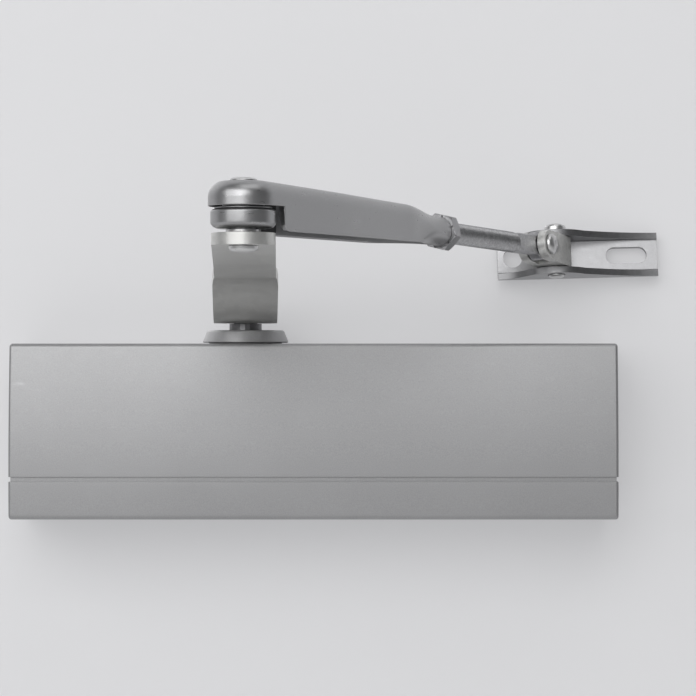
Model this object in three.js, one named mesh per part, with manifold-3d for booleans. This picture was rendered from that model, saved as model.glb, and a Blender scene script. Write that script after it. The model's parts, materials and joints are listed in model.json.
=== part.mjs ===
// A surface-mounted door closer: a rack-and-pinion hydraulic body under a clip-on cover, a flat main arm,
// a pressed forearm with a threaded adjusting rod, and a swivelling shoe that screws to the door frame.
//
// Millimetres, +Z up, +X to the right along the body. The origin is the centre of the housing's flat back,
// so Y = 0 is the door face and -Y comes out of the door. The arms lie in the pose that the piece is shown in.

import * as THREE from 'three';
import { mergeVertices } from 'three/addons/utils/BufferGeometryUtils.js';
import Module from 'manifold-3d';

const wasm = await Module();
wasm.setup();

// ---------------------------------------------------------------- driving dimensions

// fits between pieces
const gap = 0.3;             // between pieces that touch or turn in each other
const filmGap = 0.2;         // between stacked washers and the faces they lie on

// cover
const coverLength = 230;
const coverHeight = 66.4;
const coverDepth = 46;
const coverWall = 2.2;
const coverEdge = 1.8;       // radius of its long outer edges
const coverEndEdge = 1.1;    // radius of the edges round its ends
const coverBackGap = 0.4;    // from its rim to the door face
const frontRadius = 360;     // radius of the gently convex front
const frontCrown = -17;      // height of the front's most forward line
const grooveTop = -17.1;
const grooveWidth = 1.9;
const grooveDepth = 0.8;

// housing
const barrelLength = 184;
const barrelHeight = 54;
const barrelDepth = 41;
const barrelCorner = 8;
const lugLength = 222;
const lugThickness = 9;
const lugCorner = 6;
const boreRadius = 16.5;
const boreDepth = 22;        // bore axis behind the door face's normal, towards the viewer
const fixingX = 102;
const fixingZ = 18;
const fixingRadius = 2.75;

// spindle, pinion and bearings
const spindleX = -26.5;
const gearModule = 1.6;
const pinionTeeth = 10;
const pressureAngle = THREE.MathUtils.degToRad(30);
const addendum = 1.4;
const dedendum = 1.7;
const backlash = 0.2;
const pinionHalfLength = 12.6;
const spindleTurn = THREE.MathUtils.degToRad(170);
const lowerJournal = 6.1;
const upperJournal = 7.5;
const neckRadius = 6.25;
const squareSide = 9;
const upperBearingRadius = 11.7;
const lowerBearingRadius = 9.7;
const bearingStart = 17;
const bearingLength = 8;
const sealLength = 2.6;
const bossRadius = 15.6;
const bossTop = 30;
const glandFlangeRadius = 13;
const glandTop = 33;
const lowerCapRadius = 12;
const arborScrewRadius = 2.9;

// collar over the spindle
const collarBottomRadius = 16.5;
const collarTopRadius = 14.75;
const collarBottom = 33.5;
const collarTop = 38.3;
const collarSkirtWall = 0.7;

// piston, spring and end plugs
const pistonEndWall = 9.5;
const windowFar = 10;        // from the spindle axis to the window's plain side
const plugLength = 12;
const plugFlangeRadius = 18.6;
const plugFlange = 3.8;
const plugSocket = 12;       // across the flats of the key socket
const springWire = 4.4;
const springClearance = 1.6; // between the coil and the bore
const springRadius = boreRadius - springClearance - springWire / 2;   // to the middle of the wire
const springTurns = 8;
const springSeatThickness = 2;
const ballRadius = 2.5;

// speed valves
const valveRadius = 3.2;
const valveLength = 14;
const valveProud = 2;

// main arm
const armLength = 193;
const armAngle = THREE.MathUtils.degToRad(-87.9);
const armThickness = 3.8;
const armHubRadius = 12;
const armEyeRadius = 10;
const armSeat = 41;          // height of its underside at the spindle
const armShelf = 57.1;       // height of its underside after the first rise
const armUpper = 60.6;       // height of its underside after the second rise
const armTip = 63.3;         // height of its underside at the elbow
const firstRise = [12, 50];
const secondRise = [63, 108];
const armFlat = 15;          // level stretch between the last rise and the elbow
const lastRise = [108, armLength - armFlat];
const armShoulder = [40, 52];   // where the plan steps in beyond the first rise
const armShoulderHalf = 12.2;
const armWaistHalf = 11.3;
const armScrewHead = 6.5;

// elbow joint
const elbowShank = 3.9;
const elbowHeadRadius = 4.65;
const elbowWasherRadius = 5.5;
const elbowWasher = 1;
const armWasherRadius = 8;
const armWasher = 1.5;
const discRadius = 10.25;
const discThickness = 5.9;
const topWasherRadius = 9;
const topWasher = 0.6;

// forearm
const forearmAngle = THREE.MathUtils.degToRad(60.97);
const forearmWall = 2.4;
const lobeRadius = 11;
const lobeEdge = 5;
const channelFloor = 67.7;
const skirtStart = 7;        // where the side walls come down, from the elbow axis
const forearmTop = 83.2;
const forearmMidTop = 82;
const forearmMid = 50;
const taperStart = 96;
const taperTop = 80.9;
const taperWidth = 9.5;
const tubeStart = 127;
const tubeEnd = 133;
const tubeRadius = 5.2;

// adjusting rod and its lock nut
const rodHeight = 72.95;     // height of its axis where it enters the tube
const rodPitch = THREE.MathUtils.degToRad(1.5);
const rodRadius = 3.9;
const rodStart = 98;
const threadEnd = 194;
const rodEye = 216.7;
const eyeRadius = 5.5;
const eyeThickness = 4.6;
const rodNeck = 7.2;
const nutFlats = 12;
const nutTurn = THREE.MathUtils.degToRad(13);   // a corner stands a little below the level
const nutThickness = 5;

// swivel fork
const tabThickness = 3.2;
const forkHeight = 11.7;
const pinOffset = 17;
const forkTail = 3;
const swivelShank = 2.4;
const swivelHeadRadius = 4;

// shoe
const shoeTilt = THREE.MathUtils.degToRad(10);
const shoeRoll = THREE.MathUtils.degToRad(1.5);
const shoeSheet = 2.5;
const shoeLeft = 22.4;
const shoeRight = 40.4;
const shoeBack = 9.4;
const shoeNose = 5.2;
const shoeNoseHalf = 6;
const shoeEndDepth = 3;
const shoeBend = 2.2;
const pinRadius = 3.1;
const pinHeadRadius = 4.3;
const pinTail = 0.9;
const holeRadius = 3.7;
const holeX = -16.4;
const slotX = 28.2;
const slotLength = 16;
const slotHeight = 6.5;

// cover clips
const clipThickness = 1.2;
const clipWidth = 14;
const clipX = 104;
const clipScrewRadius = 1.6;

// values that follow from the ones above
const pitchRadius = gearModule * pinionTeeth / 2;
const tipRadius = pitchRadius + addendum;
const rackPitch = Math.PI * gearModule;
const pistonTravel = pitchRadius * spindleTurn;
const pistonRadius = boreRadius - gap;
const windowRight = tipRadius + 1.5;
const windowLeft = -pistonTravel - windowRight - 0.6;
const pistonLeft = spindleX + windowLeft - pistonEndWall;
const pistonRight = spindleX + windowRight + pistonEndWall;
const barrelEnd = barrelLength / 2;
const plugInner = barrelEnd - plugLength;
const springSeatFace = plugInner - gap - springSeatThickness;
const armScrewBase = armSeat + armThickness + filmGap;
const elbowWasherBottom = armTip + armThickness + filmGap;
const discBottom = elbowWasherBottom + elbowWasher + filmGap;
const topWasherBottom = discBottom + discThickness + filmGap;
const lobeBottom = topWasherBottom + topWasher + filmGap;
const forkHalfWidth = eyeThickness / 2 + gap + tabThickness;
const shoeInner = forkHeight / 2 + gap;
const shoeOuter = shoeInner + shoeSheet;

// ---------------------------------------------------------------- solids

function toSolid(geometry) {
  const bare = geometry.clone();
  bare.deleteAttribute('normal');
  bare.deleteAttribute('uv');
  const merged = mergeVertices(bare, 1e-4);
  const position = merged.attributes.position;
  const index = merged.index.array;
  const triangles = [];
  let volume = 0;
  const a = new THREE.Vector3();
  const b = new THREE.Vector3();
  const c = new THREE.Vector3();
  for (let i = 0; i < index.length; i += 3) {
    const [p, q, r] = [index[i], index[i + 1], index[i + 2]];
    if (p === q || q === r || r === p) continue;
    triangles.push(p, q, r);
    a.fromBufferAttribute(position, p);
    b.fromBufferAttribute(position, q);
    c.fromBufferAttribute(position, r);
    volume += a.dot(b.cross(c));
  }
  if (volume < 0) triangles.reverse();
  return new wasm.Manifold(new wasm.Mesh({
    numProp: 3,
    vertProperties: Float32Array.from(position.array),
    triVerts: Uint32Array.from(triangles),
  }));
}

function toGeometry(solid) {
  const result = solid.getMesh();
  const geometry = new THREE.BufferGeometry();
  geometry.setAttribute('position', new THREE.BufferAttribute(result.vertProperties, 3));
  geometry.setIndex(new THREE.BufferAttribute(result.triVerts, 1));
  return geometry;
}

function cut(body, ...tools) {
  return toGeometry(tools.reduce((rest, tool) => rest.subtract(toSolid(tool)), toSolid(body)));
}

function join(body, ...others) {
  return toGeometry(others.reduce((sum, other) => sum.add(toSolid(other)), toSolid(body)));
}

function common(body, ...others) {
  return toGeometry(others.reduce((rest, other) => rest.intersect(toSolid(other)), toSolid(body)));
}

// A solid of revolution about Z from [radius, height] points. The profile starts and ends on the axis.
function turned(profile, sides = 20) {
  const points = profile.map(([radius, height]) => new THREE.Vector2(radius, height));
  return new THREE.LatheGeometry(points, sides).rotateX(Math.PI / 2);
}

function disc(radius, bottom, top, sides = 20) {
  return turned([[0, bottom], [radius, bottom], [radius, top], [0, top]], sides);
}

// A ring about Z. Its profile closes on itself.
function ring(inner, outer, bottom, top, sides = 20) {
  return turned([[inner, bottom], [outer, bottom], [outer, top], [inner, top], [inner, bottom]], sides);
}

// A disc about Z with a small bevel on its two edges.
function bevelled(radius, bottom, top, bevel, sides = 20) {
  return turned([
    [0, bottom], [radius - bevel, bottom], [radius, bottom + bevel],
    [radius, top - bevel], [radius - bevel, top], [0, top],
  ], sides);
}

// A round rubber ring about Z: its section is a hexagon.
function sealRing(inner, outer, middle) {
  const wire = (outer - inner) / 2;
  const profile = [];
  for (let i = 0; i <= 6; i += 1) {
    const angle = i * Math.PI / 3;
    profile.push([inner + wire + wire * Math.cos(angle), middle + wire * Math.sin(angle)]);
  }
  return turned(profile, 16);
}

function box(x0, x1, y0, y1, z0, z1) {
  const geometry = new THREE.BoxGeometry(x1 - x0, y1 - y0, z1 - z0);
  return geometry.translate((x0 + x1) / 2, (y0 + y1) / 2, (z0 + z1) / 2);
}

// The same outline as straight steps, without the doubled points where its curves meet.
function stepped(shape, divisions) {
  const points = shape.getPoints(divisions);
  const kept = points.filter((point, i) => (
    point.distanceTo(points[(i + points.length - 1) % points.length]) > 1e-4
  ));
  return new THREE.Shape(kept);
}

function extruded(shape, from, to, curveSegments = 5) {
  const options = { depth: to - from, bevelEnabled: false };
  return new THREE.ExtrudeGeometry(stepped(shape, curveSegments), options).translate(0, 0, from);
}

// Turns a solid made along Z to lie along X: its own x becomes Y, and its own y becomes Z.
function alongX(geometry) {
  const turn = new THREE.Matrix4().makeBasis(
    new THREE.Vector3(0, 1, 0), new THREE.Vector3(0, 0, 1), new THREE.Vector3(1, 0, 0),
  );
  return geometry.applyMatrix4(turn);
}

// Turns a solid made along Z to lie along Y: its own x stays X, and its own y becomes Z.
function alongY(geometry) {
  return geometry.rotateX(Math.PI / 2);
}

function polygon(points) {
  return new THREE.Shape(points.map(([x, y]) => new THREE.Vector2(x, y)));
}

function roundedRectangle(x0, x1, y0, y1, radius) {
  const shape = new THREE.Shape();
  shape.moveTo(x0 + radius, y0);
  shape.lineTo(x1 - radius, y0);
  shape.absarc(x1 - radius, y0 + radius, radius, -Math.PI / 2, 0);
  shape.absarc(x1 - radius, y1 - radius, radius, 0, Math.PI / 2);
  shape.absarc(x0 + radius, y1 - radius, radius, Math.PI / 2, Math.PI);
  shape.absarc(x0 + radius, y0 + radius, radius, Math.PI, 1.5 * Math.PI);
  return shape;
}

function hexagon(flats) {
  const corner = flats / Math.sqrt(3);
  const points = [];
  for (let i = 0; i < 6; i += 1) {
    const angle = i * Math.PI / 3;
    points.push([corner * Math.cos(angle), corner * Math.sin(angle)]);
  }
  return polygon(points);
}

// Two round ends joined by straight sides: the outline of a link, a lever or a slot.
function link(x0, radius0, x1, radius1) {
  const lean = Math.asin((radius0 - radius1) / (x1 - x0));
  const shape = new THREE.Shape();
  shape.absarc(x0, 0, radius0, Math.PI / 2 - lean, 1.5 * Math.PI + lean);
  shape.absarc(x1, 0, radius1, -Math.PI / 2 + lean, Math.PI / 2 - lean);
  return shape;
}

// A closed skin over equal rings of points, for a section that changes along its length.
function loft(rings) {
  const count = rings[0].length;
  const positions = rings.flat().flatMap((point) => point.toArray());
  const indices = [];
  for (let i = 0; i < rings.length - 1; i += 1) {
    for (let j = 0; j < count; j += 1) {
      const here = i * count + j;
      const next = i * count + (j + 1) % count;
      indices.push(here, next, next + count);
      indices.push(here, next + count, here + count);
    }
  }
  for (let j = 1; j < count - 1; j += 1) {
    const last = (rings.length - 1) * count;
    indices.push(0, j + 1, j);
    indices.push(last, last + j, last + j + 1);
  }
  const geometry = new THREE.BufferGeometry();
  geometry.setAttribute('position', new THREE.Float32BufferAttribute(positions, 3));
  geometry.setIndex(indices);
  return geometry;
}

// ---------------------------------------------------------------- materials and placing

function painted(colour, roughness, metalness) {
  return new THREE.MeshStandardMaterial({ color: colour, roughness, metalness });
}

const finishes = {
  silverPaint: painted(0xb4b5b8, 0.42, 0.55),
  armPaint: painted(0xa2a3a6, 0.4, 0.6),
  castAluminium: painted(0x8d8f92, 0.6, 0.7),
  zincPlate: painted(0xc2c2bd, 0.35, 0.85),
  brightSteel: painted(0x9a9a9c, 0.3, 0.95),
  threadSteel: painted(0x84868a, 0.38, 0.9),
  springSteel: painted(0x3c3d42, 0.45, 0.8),
  rubber: painted(0x1c1c1e, 0.8, 0),
  polymer: painted(0x9fa0a3, 0.5, 0.1),
};

const closer = new THREE.Group();

function piece(parent, name, geometry, material) {
  const mesh = new THREE.Mesh(geometry, material);
  mesh.name = name;
  parent.add(mesh);
}

function placed(parent, x, y, z) {
  const group = new THREE.Group();
  group.position.set(x, y, z);
  parent.add(group);
  return group;
}

// ---------------------------------------------------------------- cover

// The cover's outer form, drawn in by an inset on every side but the open back.
function coverBlock(inset, edge, endEdge = 0) {
  const halfHeight = coverHeight / 2 - inset;
  const halfLength = coverLength / 2 - inset;
  const radius = frontRadius - inset;
  const centreY = -coverDepth + frontRadius;
  const forward = (height) => centreY - Math.sqrt(radius ** 2 - (height - frontCrown) ** 2);
  const lower = -halfHeight + edge;
  const upper = halfHeight - edge;
  const shape = new THREE.Shape();
  shape.moveTo(barrelCorner, halfHeight);
  shape.lineTo(forward(upper) + edge, halfHeight);
  shape.quadraticCurveTo(forward(upper), halfHeight, forward(upper), upper);
  const start = Math.PI - Math.asin((upper - frontCrown) / radius);
  const end = Math.PI - Math.asin((lower - frontCrown) / radius);
  shape.absarc(centreY, frontCrown, radius, start, end);
  shape.quadraticCurveTo(forward(lower), -halfHeight, forward(lower) + edge, -halfHeight);
  shape.lineTo(barrelCorner, -halfHeight);
  const options = {
    depth: 2 * (halfLength - endEdge),
    bevelEnabled: endEdge > 0,
    bevelSize: endEdge,
    bevelThickness: endEdge,
    bevelOffset: -endEdge,
    bevelSegments: 2,
  };
  const block = new THREE.ExtrudeGeometry(stepped(shape, 6), options);
  return alongX(block.translate(0, 0, -halfLength + endEdge));
}

function cover() {
  const halfLength = coverLength;
  const rim = box(-halfLength, halfLength, -coverBackGap, 2 * barrelCorner, -coverHeight, coverHeight);
  const slab = box(-halfLength, halfLength, -2 * coverDepth, 0, grooveTop - grooveWidth, grooveTop);
  const groove = cut(slab, coverBlock(grooveDepth, 0.4));
  const notchRadius = glandFlangeRadius + gap + collarSkirtWall + gap;
  const notch = link(0, notchRadius, boreDepth + notchRadius, notchRadius);
  const notchCut = extruded(notch, coverHeight / 2 - coverWall - 1, coverHeight / 2 + 1)
    .rotateZ(Math.PI / 2)
    .translate(spindleX, -boreDepth, 0);
  const block = coverBlock(0, coverEdge, coverEndEdge);
  return cut(block, coverBlock(coverWall, 0.4), rim, groove, notchCut);
}

// ---------------------------------------------------------------- housing and what is fixed in it

// What a corner pocket of the barrel holds: the two speed valves, at the right-hand end.
const valveY = -barrelDepth + barrelCorner;
const valveZ = barrelHeight / 2 - barrelCorner;

function housing() {
  const halfHeight = barrelHeight / 2;
  const section = new THREE.Shape();
  section.moveTo(0, -halfHeight);
  section.lineTo(0, halfHeight);
  section.lineTo(-barrelDepth + barrelCorner, halfHeight);
  section.absarc(-barrelDepth + barrelCorner, valveZ, barrelCorner, Math.PI / 2, Math.PI);
  section.absarc(-barrelDepth + barrelCorner, -valveZ, barrelCorner, Math.PI, 1.5 * Math.PI);
  const barrel = alongX(extruded(section, -barrelEnd, barrelEnd));
  const lugPlan = roundedRectangle(-lugLength / 2, lugLength / 2, -halfHeight, halfHeight, lugCorner);
  const lugs = alongY(extruded(lugPlan, 0, lugThickness));
  const boss = disc(bossRadius, -bossTop, bossTop).translate(spindleX, -boreDepth, 0);

  const bore = alongX(disc(boreRadius, -barrelEnd - 1, barrelEnd + 1, 24)).translate(0, -boreDepth, 0);
  const upperBore = disc(upperBearingRadius + gap, bearingStart - gap, bossTop + 1);
  const lowerBore = disc(lowerBearingRadius + gap, -bossTop - 1, bearingStart);
  const capBore = disc(lowerCapRadius + gap, -bossTop - 1, lowerCapBase() + gap);
  const shaftBores = [upperBore, lowerBore, capBore].map((hole) => hole.translate(spindleX, -boreDepth, 0));
  const holes = [bore, ...shaftBores];
  for (const side of [-1, 1]) {
    for (const end of [-1, 1]) {
      const fixing = alongY(disc(fixingRadius, -1, lugThickness + 1, 12));
      holes.push(fixing.translate(end * fixingX, 0, side * fixingZ));
    }
    const flangeEnds = [barrelEnd, barrelEnd + plugFlange + 1].map((x) => side * x).sort((a, b) => a - b);
    holes.push(alongX(disc(plugFlangeRadius + gap, ...flangeEnds)).translate(0, -boreDepth, 0));
    const valveBore = alongX(disc(valveRadius + gap, barrelEnd - valveLength - 1, barrelEnd + 1, 12));
    holes.push(valveBore.translate(0, valveY, side * valveZ));
    const screwHole = alongY(disc(clipScrewRadius + gap, lugThickness - 5, lugThickness + 1, 12));
    holes.push(screwHole.translate(side * clipX, 0, 0));
  }
  return cut(join(barrel, lugs, boss), ...holes);
}

function lowerCapBase() {
  return -bearingStart - bearingLength - sealLength - 2 * filmGap;
}

// An end plug, made for the right-hand end of the bore and turned round for the left.
function endPlug() {
  const grooveMiddle = plugInner + 4;
  const grooveHalf = 1.4;
  const grooveFloor = boreRadius - 2.2;
  const radius = boreRadius - gap;
  const profile = [
    [0, plugInner], [radius, plugInner],
    [radius, grooveMiddle - grooveHalf], [grooveFloor, grooveMiddle - grooveHalf],
    [grooveFloor, grooveMiddle + grooveHalf], [radius, grooveMiddle + grooveHalf],
    [radius, barrelEnd + filmGap], [plugFlangeRadius, barrelEnd + filmGap],
    [plugFlangeRadius, barrelEnd + plugFlange - 0.8], [plugFlangeRadius - 0.8, barrelEnd + plugFlange],
    [0, barrelEnd + plugFlange],
  ];
  const socket = extruded(hexagon(plugSocket), barrelEnd + 0.4, barrelEnd + plugFlange + 1);
  return alongX(cut(turned(profile), socket)).translate(0, -boreDepth, 0);
}

function endPlugSeal() {
  const seal = sealRing(boreRadius - 1.8, boreRadius - gap, plugInner + 4);
  return alongX(seal).translate(0, -boreDepth, 0);
}

function otherEnd(geometry) {
  return geometry.translate(0, boreDepth, 0).rotateZ(Math.PI).translate(0, -boreDepth, 0);
}

function speedValve(side) {
  const end = barrelEnd + valveProud;
  const start = barrelEnd - valveLength;
  const sealMiddle = start + 6;
  const profile = [
    [0, start], [1.4, start + 3], [valveRadius, start + 3.6],
    [valveRadius, sealMiddle - 1.1], [valveRadius - 1.3, sealMiddle - 1.1],
    [valveRadius - 1.3, sealMiddle + 1.1], [valveRadius, sealMiddle + 1.1],
    [valveRadius, end - 0.4], [valveRadius - 0.4, end], [0, end],
  ];
  const slot = box(-valveRadius - 1, valveRadius + 1, -0.5, 0.5, end - 1.3, end + 1);
  return alongX(cut(turned(profile, 12), slot)).translate(0, valveY, side * valveZ);
}

function speedValveSeal(side) {
  const seal = sealRing(valveRadius - 1.1, valveRadius + 0.1, barrelEnd - valveLength + 6);
  return alongX(seal).translate(0, valveY, side * valveZ);
}

function coverClip(end) {
  const halfWidth = clipWidth / 2;
  const base = lugThickness + filmGap;
  const inner = coverLength / 2 - coverWall - gap;
  const outline = polygon([
    [clipX - 5, -base], [inner, -base], [inner, -base - 22], [inner - 3, -base - 25],
    [inner - 3.8, -base - 24], [inner - clipThickness, -base - 21.5],
    [inner - clipThickness, -base - clipThickness], [clipX - 5, -base - clipThickness],
  ].map(([x, y]) => [end * x, y]));
  const hole = alongY(disc(clipScrewRadius + gap, base - 1, base + 3, 12)).translate(end * clipX, 0, 0);
  return cut(extruded(outline, -halfWidth, halfWidth), hole);
}

function clipScrew(end) {
  const under = lugThickness + 2 * filmGap + clipThickness;
  const profile = [
    [0, lugThickness - 4.5], [clipScrewRadius, lugThickness - 4], [clipScrewRadius, under],
    [3.2, under], [3, under + 1.3], [1.8, under + 2.1], [0, under + 2.2],
  ];
  const slot = box(-4, 4, -0.4, 0.4, under + 1.1, under + 3);
  return alongY(cut(turned(profile, 12), slot)).translate(end * clipX, 0, 0);
}

const atSpindle = placed(closer, spindleX, -boreDepth, 0);

piece(closer, 'cover', cover(), finishes.silverPaint);
piece(closer, 'housing', housing(), finishes.castAluminium);
piece(closer, 'end_plug_right', endPlug(), finishes.brightSteel);
piece(closer, 'end_plug_left', otherEnd(endPlug()), finishes.brightSteel);
piece(closer, 'end_plug_seal_right', endPlugSeal(), finishes.rubber);
piece(closer, 'end_plug_seal_left', otherEnd(endPlugSeal()), finishes.rubber);
piece(closer, 'closing_speed_valve', speedValve(1), finishes.brightSteel);
piece(closer, 'latching_speed_valve', speedValve(-1), finishes.brightSteel);
piece(closer, 'closing_valve_seal', speedValveSeal(1), finishes.rubber);
piece(closer, 'latching_valve_seal', speedValveSeal(-1), finishes.rubber);
for (const [end, side] of [[-1, 'left'], [1, 'right']]) {
  piece(closer, `cover_clip_${side}`, coverClip(end), finishes.zincPlate);
  piece(closer, `clip_screw_${side}`, clipScrew(end), finishes.zincPlate);
}

// ---------------------------------------------------------------- bearings, seals and caps of the spindle

function glandNut() {
  const bottom = bearingStart + bearingLength + sealLength + 2 * filmGap;
  const inner = upperJournal + gap;
  const body = turned([
    [inner, bottom], [upperBearingRadius, bottom], [upperBearingRadius, bossTop + filmGap],
    [glandFlangeRadius, bossTop + filmGap], [glandFlangeRadius, glandTop - 0.4],
    [glandFlangeRadius - 0.4, glandTop], [inner, glandTop], [inner, bottom],
  ]);
  const slots = [0, Math.PI / 2].map((angle) => (
    box(-glandFlangeRadius - 1, glandFlangeRadius + 1, -1.3, 1.3, glandTop - 1.2, glandTop + 1).rotateZ(angle)
  ));
  return cut(body, ...slots);
}

function lowerCap() {
  const top = lowerCapBase();
  const body = bevelled(lowerCapRadius, -bossTop, top, 0.4);
  return cut(body, extruded(hexagon(8), -bossTop - 1, top - 1));
}

function spindleCollar() {
  const skirtInner = glandFlangeRadius + gap;
  const skirtOuter = skirtInner + collarSkirtWall;
  const bore = neckRadius + gap + 0.1;
  const skirtBottom = coverHeight / 2 - coverWall + gap;
  return turned([
    [bore, collarBottom], [skirtInner, collarBottom], [skirtInner, skirtBottom], [skirtOuter, skirtBottom],
    [skirtOuter, collarBottom], [collarBottomRadius - 0.3, collarBottom],
    [collarBottomRadius, collarBottom + 0.4], [collarTopRadius + 0.2, collarTop - 0.5],
    [collarTopRadius - 0.4, collarTop], [bore, collarTop], [bore, collarBottom],
  ], 28);
}

const upperSealBottom = bearingStart + bearingLength + filmGap;
const journalGap = upperJournal + gap;
const lowerGap = lowerJournal + gap;
piece(atSpindle, 'upper_bearing',
  ring(journalGap, upperBearingRadius, bearingStart, bearingStart + bearingLength), finishes.brightSteel);
piece(atSpindle, 'lower_bearing',
  ring(lowerGap, lowerBearingRadius, -bearingStart - bearingLength, -bearingStart), finishes.brightSteel);
piece(atSpindle, 'upper_seal',
  ring(journalGap, upperBearingRadius, upperSealBottom, upperSealBottom + sealLength), finishes.rubber);
piece(atSpindle, 'lower_seal',
  ring(lowerGap, lowerBearingRadius, -upperSealBottom - sealLength, -upperSealBottom), finishes.rubber);
piece(atSpindle, 'gland_nut', glandNut(), finishes.brightSteel);
piece(atSpindle, 'lower_cap', lowerCap(), finishes.brightSteel);
piece(atSpindle, 'spindle_collar', spindleCollar(), finishes.polymer);

// ---------------------------------------------------------------- pinion shaft, piston and spring

// How far an involute has wound, as an angle, at a radius.
function involute(radius) {
  const base = pitchRadius * Math.cos(pressureAngle);
  const angle = Math.acos(Math.min(1, base / radius));
  return Math.tan(angle) - angle;
}

// The outline of the pinion: involute teeth, one of them pointing towards the rack at -Y.
function pinionOutline() {
  const rootRadius = pitchRadius - dedendum;
  const baseRadius = pitchRadius * Math.cos(pressureAngle);
  const halfAtPitch = (rackPitch - 2 * backlash) / 4 / pitchRadius;
  const halfAngle = (radius) => halfAtPitch + involute(pitchRadius) - involute(radius);
  const flank = [rootRadius, baseRadius, pitchRadius, tipRadius];
  const points = [];
  for (let tooth = 0; tooth < pinionTeeth; tooth += 1) {
    const middle = -Math.PI / 2 + tooth * 2 * Math.PI / pinionTeeth;
    for (const radius of flank) {
      const angle = middle - halfAngle(Math.max(radius, baseRadius));
      points.push([radius * Math.cos(angle), radius * Math.sin(angle)]);
    }
    for (const radius of [...flank].reverse()) {
      const angle = middle + halfAngle(Math.max(radius, baseRadius));
      points.push([radius * Math.cos(angle), radius * Math.sin(angle)]);
    }
  }
  return polygon(points);
}

function pinionShaft() {
  const bottom = lowerCapBase() + gap;
  const shoulder = armSeat - filmGap;
  const shaft = turned([
    [0, bottom], [lowerJournal - 0.5, bottom], [lowerJournal, bottom + 0.5],
    [lowerJournal, bearingStart - 0.6], [upperJournal, bearingStart],
    [upperJournal, glandTop - 0.5], [neckRadius, glandTop], [neckRadius, shoulder], [0, shoulder],
  ]);
  const teeth = extruded(pinionOutline(), -pinionHalfLength, pinionHalfLength);
  const half = squareSide / 2;
  const square = box(-half, half, -half, half, shoulder - 1, armSeat + armThickness - 0.3).rotateZ(armAngle);
  const thread = disc(arborScrewRadius + gap, armSeat - 14, armSeat + 20, 16);
  return cut(join(shaft, teeth, square), thread);
}

// The window in the piston, with the rack along its front side. X runs from the spindle axis.
function pistonWindow() {
  const rootLine = -pitchRadius - dedendum;
  const tipLine = -pitchRadius + addendum;
  const slope = Math.tan(pressureAngle);
  const halfAtPitch = (rackPitch - 2 * backlash) / 4;
  const halfAtTip = halfAtPitch - addendum * slope;
  const halfAtRoot = halfAtPitch + dedendum * slope;
  const points = [[windowLeft, windowFar], [windowLeft, rootLine]];
  const first = Math.ceil((windowLeft + halfAtRoot) / rackPitch - 0.5);
  for (let tooth = first; (tooth + 0.5) * rackPitch + halfAtRoot < windowRight; tooth += 1) {
    const middle = (tooth + 0.5) * rackPitch;
    points.push([middle - halfAtRoot, rootLine], [middle - halfAtTip, tipLine]);
    points.push([middle + halfAtTip, tipLine], [middle + halfAtRoot, rootLine]);
  }
  points.push([windowRight, rootLine], [windowRight, windowFar]);
  return extruded(polygon(points), -2 * boreRadius, 2 * boreRadius).translate(spindleX, -boreDepth, 0);
}

function piston() {
  const body = alongX(bevelled(pistonRadius, pistonLeft, pistonRight, 1, 24)).translate(0, -boreDepth, 0);
  const ballPocket = alongX(disc(ballRadius + gap, pistonLeft - 1, pistonLeft + 6.4, 16));
  const passage = alongX(disc(ballRadius - 1, pistonLeft, pistonLeft + pistonEndWall + 1, 12));
  const springStep = alongX(ring(springRadius - 3.2, boreRadius + 1, pistonRight - 2, pistonRight + 1));
  const tools = [ballPocket, passage, springStep].map((tool) => tool.translate(0, -boreDepth, 0));
  return cut(body, pistonWindow(), ...tools);
}

class Helix extends THREE.Curve {
  constructor(radius, turns, start, end) {
    super();
    Object.assign(this, { radius, turns, start, end });
  }

  getPoint(t, target = new THREE.Vector3()) {
    const angle = 2 * Math.PI * this.turns * t;
    const x = this.start + (this.end - this.start) * t;
    return target.set(x, this.radius * Math.cos(angle), this.radius * Math.sin(angle));
  }
}

function mainSpring() {
  const wire = springWire / 2;
  const section = new THREE.Shape();
  section.absarc(0, 0, wire, 0, 2 * Math.PI);
  const from = pistonRight - 2 + wire + gap;
  const path = new Helix(springRadius, springTurns, from, springSeatFace - wire - gap);
  const options = { steps: springTurns * 14, extrudePath: path, curveSegments: 3, bevelEnabled: false };
  return new THREE.ExtrudeGeometry(section, options).translate(0, -boreDepth, 0);
}

piece(atSpindle, 'pinion_shaft', pinionShaft(), finishes.brightSteel);
piece(closer, 'piston', piston(), finishes.brightSteel);
piece(closer, 'main_spring', mainSpring(), finishes.springSteel);
piece(closer, 'spring_seat',
  alongX(ring(5, boreRadius - gap, springSeatFace, springSeatFace + springSeatThickness))
    .translate(0, -boreDepth, 0),
  finishes.brightSteel);
piece(closer, 'check_valve_ball',
  new THREE.SphereGeometry(ballRadius, 14, 8).translate(pistonLeft + 3.7, -boreDepth, 0),
  finishes.brightSteel);
piece(closer, 'check_valve_retainer',
  alongX(ring(1.3, ballRadius + 0.1, pistonLeft + 0.2, pistonLeft + 1, 14)).translate(0, -boreDepth, 0),
  finishes.brightSteel);

// ---------------------------------------------------------------- main arm

// 0 before the rise, 1 after it, with a smooth S between.
function rise(x, [from, to]) {
  const t = THREE.MathUtils.clamp((x - from) / (to - from), 0, 1);
  return t * t * (3 - 2 * t);
}

function armUnderside(x) {
  const along = THREE.MathUtils.clamp((x - lastRise[0]) / (lastRise[1] - lastRise[0]), 0, 1);
  return armSeat + (armShelf - armSeat) * rise(x, firstRise)
    + (armUpper - armShelf) * rise(x, secondRise) + (armTip - armUpper) * along;
}

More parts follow.
